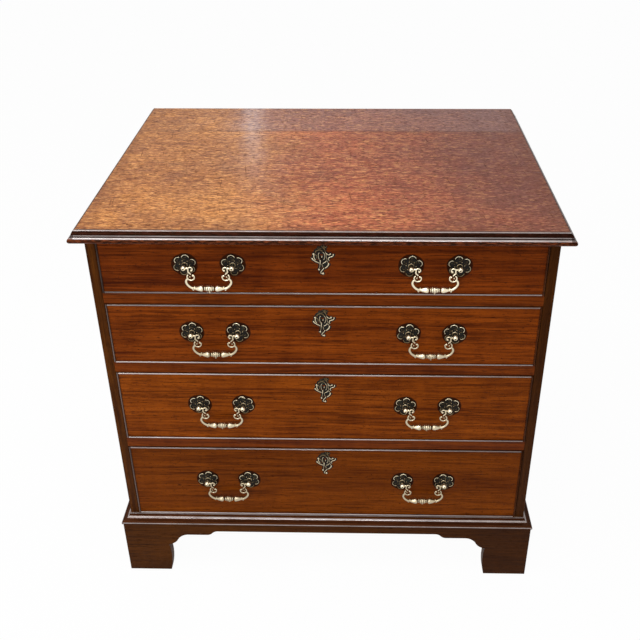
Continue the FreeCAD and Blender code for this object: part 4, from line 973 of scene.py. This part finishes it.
def bail_half(pitch, drop):
    """The left half of a bail, from its pin over its scrolls to the middle of its bar."""
    half = Casting()
    post_x = -pitch / 2
    bend = post_x + 14
    pin = [(0, 0, 1), (0, 1.4, 1), (0.3, 1.6, 1), (8.6, 1.6, 1), (8.6, 0, 1)]
    half.turned(pin, "x", (post_x - 0.7, 0, 0), sides=16)
    # the hook by the pin, the stem below it and the scroll at its foot
    half.rod(scroll_line((post_x + 10.8, -1.6), (3.6, 3.6), (225, -50), 30), 3.1, 4, taper=(1, 0.8))
    half.ball((post_x + 12.5, 0, -4), 1.9, (1, 0.95, 1))
    stem = smooth_line([(7.5, -2.8), (7.2, -6.6), (9.6, -9.2), (11.5, -11.6)], 20) + (post_x, 0)
    half.rod(stem, 3.3, 4, taper=(0.95, 0.8))
    half.rod(scroll_line((post_x + 10.7, -16.3), (6, 5.6), (122, 398), 34), 3.2, 4, taper=(0.85, 0.8))
    half.ball((post_x + 14.1, 0, -13.8), 1.9, (1, 0.95, 1))
    half.ball((post_x + 9.1, 0, -16.1), 1.7, (1, 0.9, 1), shine=0.7)
    # the arm down to the bar, with two leaves where it bends
    arm = smooth_line([(-7.2, 20.2), (-10.7, 16.2), (-11.5, 11.4), (-8.8, 6), (-4.2, 1.8), (0.4, 0)], 40)
    half.rod(arm + (bend, -drop), 5, 4.6, taper=(0.72, 1), ends=0.06)
    for leaf in (((-4.4, 2.4), (-2.2, -1.6), (-0.6, -4)), ((-1.6, 0.6), (0.8, 2.4), (2, 4.6))):
        half.rod(smooth_line(leaf, 12) + (bend, -drop), 2.2, 2)
    half.ball((bend + 1, 0, -drop), 2.7, (0.55, 0.9, 1))
    # the turned bar: place from the middle, radius and relief
    bar = [
        (bend - 1.6, 1.4, 0.8), (bend - 0.6, 2.3, 0.9), (bend + 0.6, 1.9, 0.1),
        (-23.4, 2.1, 0.8), (-20.6, 3.3, 1), (-17, 4.5, 1), (-13.8, 5.2, 1), (-11.6, 5, 1),
        (-9.8, 3.7, 0.8), (-8.8, 2.3, 0), (-8, 2.3, 0), (-7.4, 3.6, 0.9), (-6.6, 4.1, 1),
        (-5.8, 3.7, 0.8), (-5.3, 3, 0), (-4.6, 4.2, 0.9), (-3.4, 4.8, 1), (-2.4, 4.6, 0.8),
        (-1.9, 3.9, 0), (-1.3, 4.7, 0.9), (0, 5, 1),
    ]
    profile = smooth_line(bar, 90)
    profile[:, 1] *= blunt_ends(180, 0.02)[:90]
    half.turned(np.vstack([profile, (0, 0, 1)]), "x", (0, 0, -drop))
    return half


def bail(pitch, drop):
    """A whole bail: its half, the mirror of that, and the drop below its middle."""
    whole = bail_half(pitch, drop)
    whole.place(whole, (0, 0, 0), facing=-1)
    whole.turned(PENDANT, "z", (0, 0, -drop), sides=16)
    return whole


class CHEST_OT_handle_mounts(bpy.types.Operator):
    """Cast the rosettes and turn the posts of the eight handles"""

    bl_idname = "chest.handle_mounts"
    bl_label = "Rosettes and posts"

    def execute(self, context):
        sizes = context.scene.chest_sizes
        metal = cast_brass("mount brass")
        flower, stem = rosette(), post()
        for number in DRAWERS:
            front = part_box(f"drawer_{number}_front")[0][1] / MM
            height = pin_height(f"drawer_{number}_bail_left") / MM
            mounts = Casting()
            for hand in SIDE_NAMES:
                for facing in (-1, 1):
                    x = (hand * sizes.handle_centre + facing * sizes.post_pitch / 2) / MM
                    mounts.place(flower, (x, front, height), facing=-facing)
                    mounts.place(stem, (x, front, height))
            node = f"drawer_{number}_handle_mounts"
            mounts.piece(f"drawer_{number}_rosettes_and_posts", f"drawer_{number}", metal, node)
        return {"FINISHED"}


class CHEST_OT_bails(bpy.types.Operator):
    """Cast the eight swan-neck bails"""

    bl_idname = "chest.bails"
    bl_label = "Bails"

    def execute(self, context):
        sizes = context.scene.chest_sizes
        shape = bail(sizes.post_pitch / MM, sizes.bail_drop / MM)
        for number, shine in zip(DRAWERS, BAIL_SHINE):
            metal = cast_brass(f"drawer {number} bail brass", shine=shine)
            pivot = (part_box(f"drawer_{number}_front")[0][1] - sizes.pivot_out) / MM
            for hand, side in SIDE_NAMES.items():
                node = f"drawer_{number}_bail_{side}"
                handle = Casting()
                handle.place(shape, (hand * sizes.handle_centre / MM, pivot, pin_height(node) / MM))
                handle.piece(f"drawer_{number}_swan_neck_{side}", node, metal, node)
        return {"FINISHED"}


class CHEST_OT_locks(bpy.types.Operator):
    """Dress the locks and their bolts"""

    bl_idname = "chest.locks"
    bl_label = "Locks"

    def execute(self, context):
        colours = context.scene.chest_colours
        lock = plain_metal("lock brass", colours.brass_bright, colours.brass_dull)
        bolt = plain_metal("bolt iron", colours.iron, toned(colours.iron, 0.3))
        for number in DRAWERS:
            dress(f"drawer_{number}_lock", lock)
            dress(f"drawer_{number}_lock_bolt", bolt)
        return {"FINISHED"}


# ---- stage ----

CAMERA_PLACE = (0.0562, -1.4022, 1.3648)
CAMERA_YAW, CAMERA_PITCH, CAMERA_ROLL = (math.radians(angle) for angle in (-1.376, 28.115, -0.342))
CAMERA_LENS = 45.74
CAMERA_SENSOR = 36
CAMERA_SHIFT = (-0.0304, -0.1347)
FLOOR_REACH = 8
FLOOR_SHOWN = 0.97  # share of plain white that the floor shows beside the shadow
ROOM_LIGHT = 0.45
# name, place, target, width and height, power and colour of each soft lamp
LAMPS = (
    ("strip above", (-0.55, -0.75, 2.5), (-0.1, -0.1, 0.6), (2.4, 0.4), 34, (1, 1, 1)),
    ("front fill", (-1.1, -2.6, 1.5), (0, -0.25, 0.4), (1.4, 1.2), 25, (1, 1, 1)),
    ("back window", (-0.42, 2.1, 1.52), (-0.16, 0.2, 0.77), (0.2, 0.5), 1, (0.9, 0.93, 1)),
)


def stood(name, data, place, right, up, back):
    """Put a lamp or a camera at a place, by the directions of its own three axes."""
    holder = bpy.data.objects.new(name, data)
    matrix = Matrix.Identity(4)
    for row in range(3):
        matrix[row][:] = (right[row], up[row], back[row], place[row])
    holder.matrix_world = matrix
    bpy.context.scene.collection.objects.link(holder)
    return holder


def soft_lamp(name, place, target, size, power, tint):
    """An area lamp that faces a target."""
    lamp = bpy.data.lights.new(name, "AREA")
    lamp.shape = "RECTANGLE"
    lamp.size, lamp.size_y = size
    lamp.energy = power
    lamp.color = tint
    away = np.subtract(place, target)
    away /= np.linalg.norm(away)
    side = np.cross((0, 0, 1), away)
    side /= np.linalg.norm(side)
    stood(name, lamp, place, side, np.cross(away, side), away)


def set_camera():
    """A camera that looks down on the chest from the front."""
    camera = bpy.data.cameras.new("camera")
    camera.lens = CAMERA_LENS
    camera.sensor_width = CAMERA_SENSOR
    camera.shift_x, camera.shift_y = CAMERA_SHIFT
    level = np.array([math.cos(CAMERA_YAW), -math.sin(CAMERA_YAW), 0])
    ahead = np.array([math.sin(CAMERA_YAW), math.cos(CAMERA_YAW), 0])
    forward = ahead * math.cos(CAMERA_PITCH) - (0, 0, math.sin(CAMERA_PITCH))
    upright = np.cross(level, forward)
    right = level * math.cos(CAMERA_ROLL) + upright * math.sin(CAMERA_ROLL)
    up = upright * math.cos(CAMERA_ROLL) - level * math.sin(CAMERA_ROLL)
    bpy.context.scene.camera = stood("camera", camera, CAMERA_PLACE, right, up, -forward)


def seen(tree):
    """1 for rays of the camera, in gloss and through glass, and 0 for all others."""
    path = tree.nodes.new("ShaderNodeLightPath")
    camera, gloss, glass = (
        Value(tree, path.outputs[name]) for name in ("Is Camera Ray", "Is Glossy Ray", "Is Transmission Ray")
    )
    return (camera + gloss + glass).under(1)


class CHEST_OT_stage(bpy.types.Operator):
    """Set the pale floor, the soft lamps and the camera"""

    bl_idname = "chest.stage"
    bl_label = "Stage"

    def execute(self, context):
        scene = context.scene
        mesh = bpy.data.meshes.new("floor")
        corners = [(FLOOR_REACH * x, FLOOR_REACH * y, 0) for x, y in ((-1, -1), (1, -1), (1, 1), (-1, 1))]
        mesh.from_pydata(corners, [], [(0, 1, 2, 3)])
        floor = bpy.data.objects.new("floor", mesh)
        scene.collection.objects.link(floor)
        paper = Finish("floor paper", (0.8, 0.8, 0.8))
        paper.paint(paper.noise(3), (0.82, 0.82, 0.82))
        paper.feed(Base_Color=paper.body, Roughness=0.9, Specular_IOR_Level=0)
        glow = paper.tree.nodes.new("ShaderNodeEmission")
        blend = paper.tree.nodes.new("ShaderNodeMixShader")
        join(paper.tree, seen(paper.tree) * FLOOR_SHOWN, blend.inputs[0])
        paper.tree.links.new(paper.shader.outputs[0], blend.inputs[1])
        paper.tree.links.new(glow.outputs[0], blend.inputs[2])
        paper.tree.links.new(blend.outputs[0], paper.tree.nodes["Material Output"].inputs[0])
        mesh.materials.append(paper.material)

        scene.world = bpy.data.worlds.new("studio")
        scene.world.use_nodes = True
        tree = scene.world.node_tree
        background = tree.nodes["Background"]
        join(tree, seen(tree) * (1 - ROOM_LIGHT) + ROOM_LIGHT, background.inputs["Strength"])
        background.inputs["Color"].default_value = (1, 1, 1, 1)
        for row in LAMPS:
            soft_lamp(*row)
        set_camera()
        scene.view_settings.view_transform = "Standard"
        return {"FINISHED"}


class CHEST_PT_panel(bpy.types.Panel):
    """The chest's steps, sizes and colours"""

    bl_label = "Bachelors Chest"
    bl_idname = "CHEST_PT_panel"
    bl_space_type = "VIEW_3D"
    bl_region_type = "UI"
    bl_category = "Chest"

    def draw(self, context):
        for step in STEPS:
            self.layout.operator(step.bl_idname)
        for group in (context.scene.chest_sizes, context.scene.chest_colours):
            box = self.layout.box()
            for name in group.__annotations__:
                box.prop(group, name)


STEPS = (
    CHEST_OT_stage,
    CHEST_OT_case,
    CHEST_OT_fronts,
    CHEST_OT_linings,
    CHEST_OT_escutcheons,
    CHEST_OT_handle_mounts,
    CHEST_OT_bails,
    CHEST_OT_locks,
)
CLASSES = (ChestSizes, ChestColours, *STEPS, CHEST_PT_panel)


def register():
    for item in CLASSES:
        bpy.utils.register_class(item)
    bpy.types.Scene.chest_sizes = bpy.props.PointerProperty(type=ChestSizes)
    bpy.types.Scene.chest_colours = bpy.props.PointerProperty(type=ChestColours)


def unregister():
    del bpy.types.Scene.chest_colours
    del bpy.types.Scene.chest_sizes
    for item in reversed(CLASSES):
        bpy.utils.unregister_class(item)


def main():
    """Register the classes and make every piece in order."""
    register()
    bpy.ops.chest.stage()
    bpy.ops.chest.case()
    bpy.ops.chest.fronts()
    bpy.ops.chest.linings()
    bpy.ops.chest.escutcheons()
    bpy.ops.chest.handle_mounts()
    bpy.ops.chest.bails()
    bpy.ops.chest.locks()


if __name__ == "__main__":
    main()
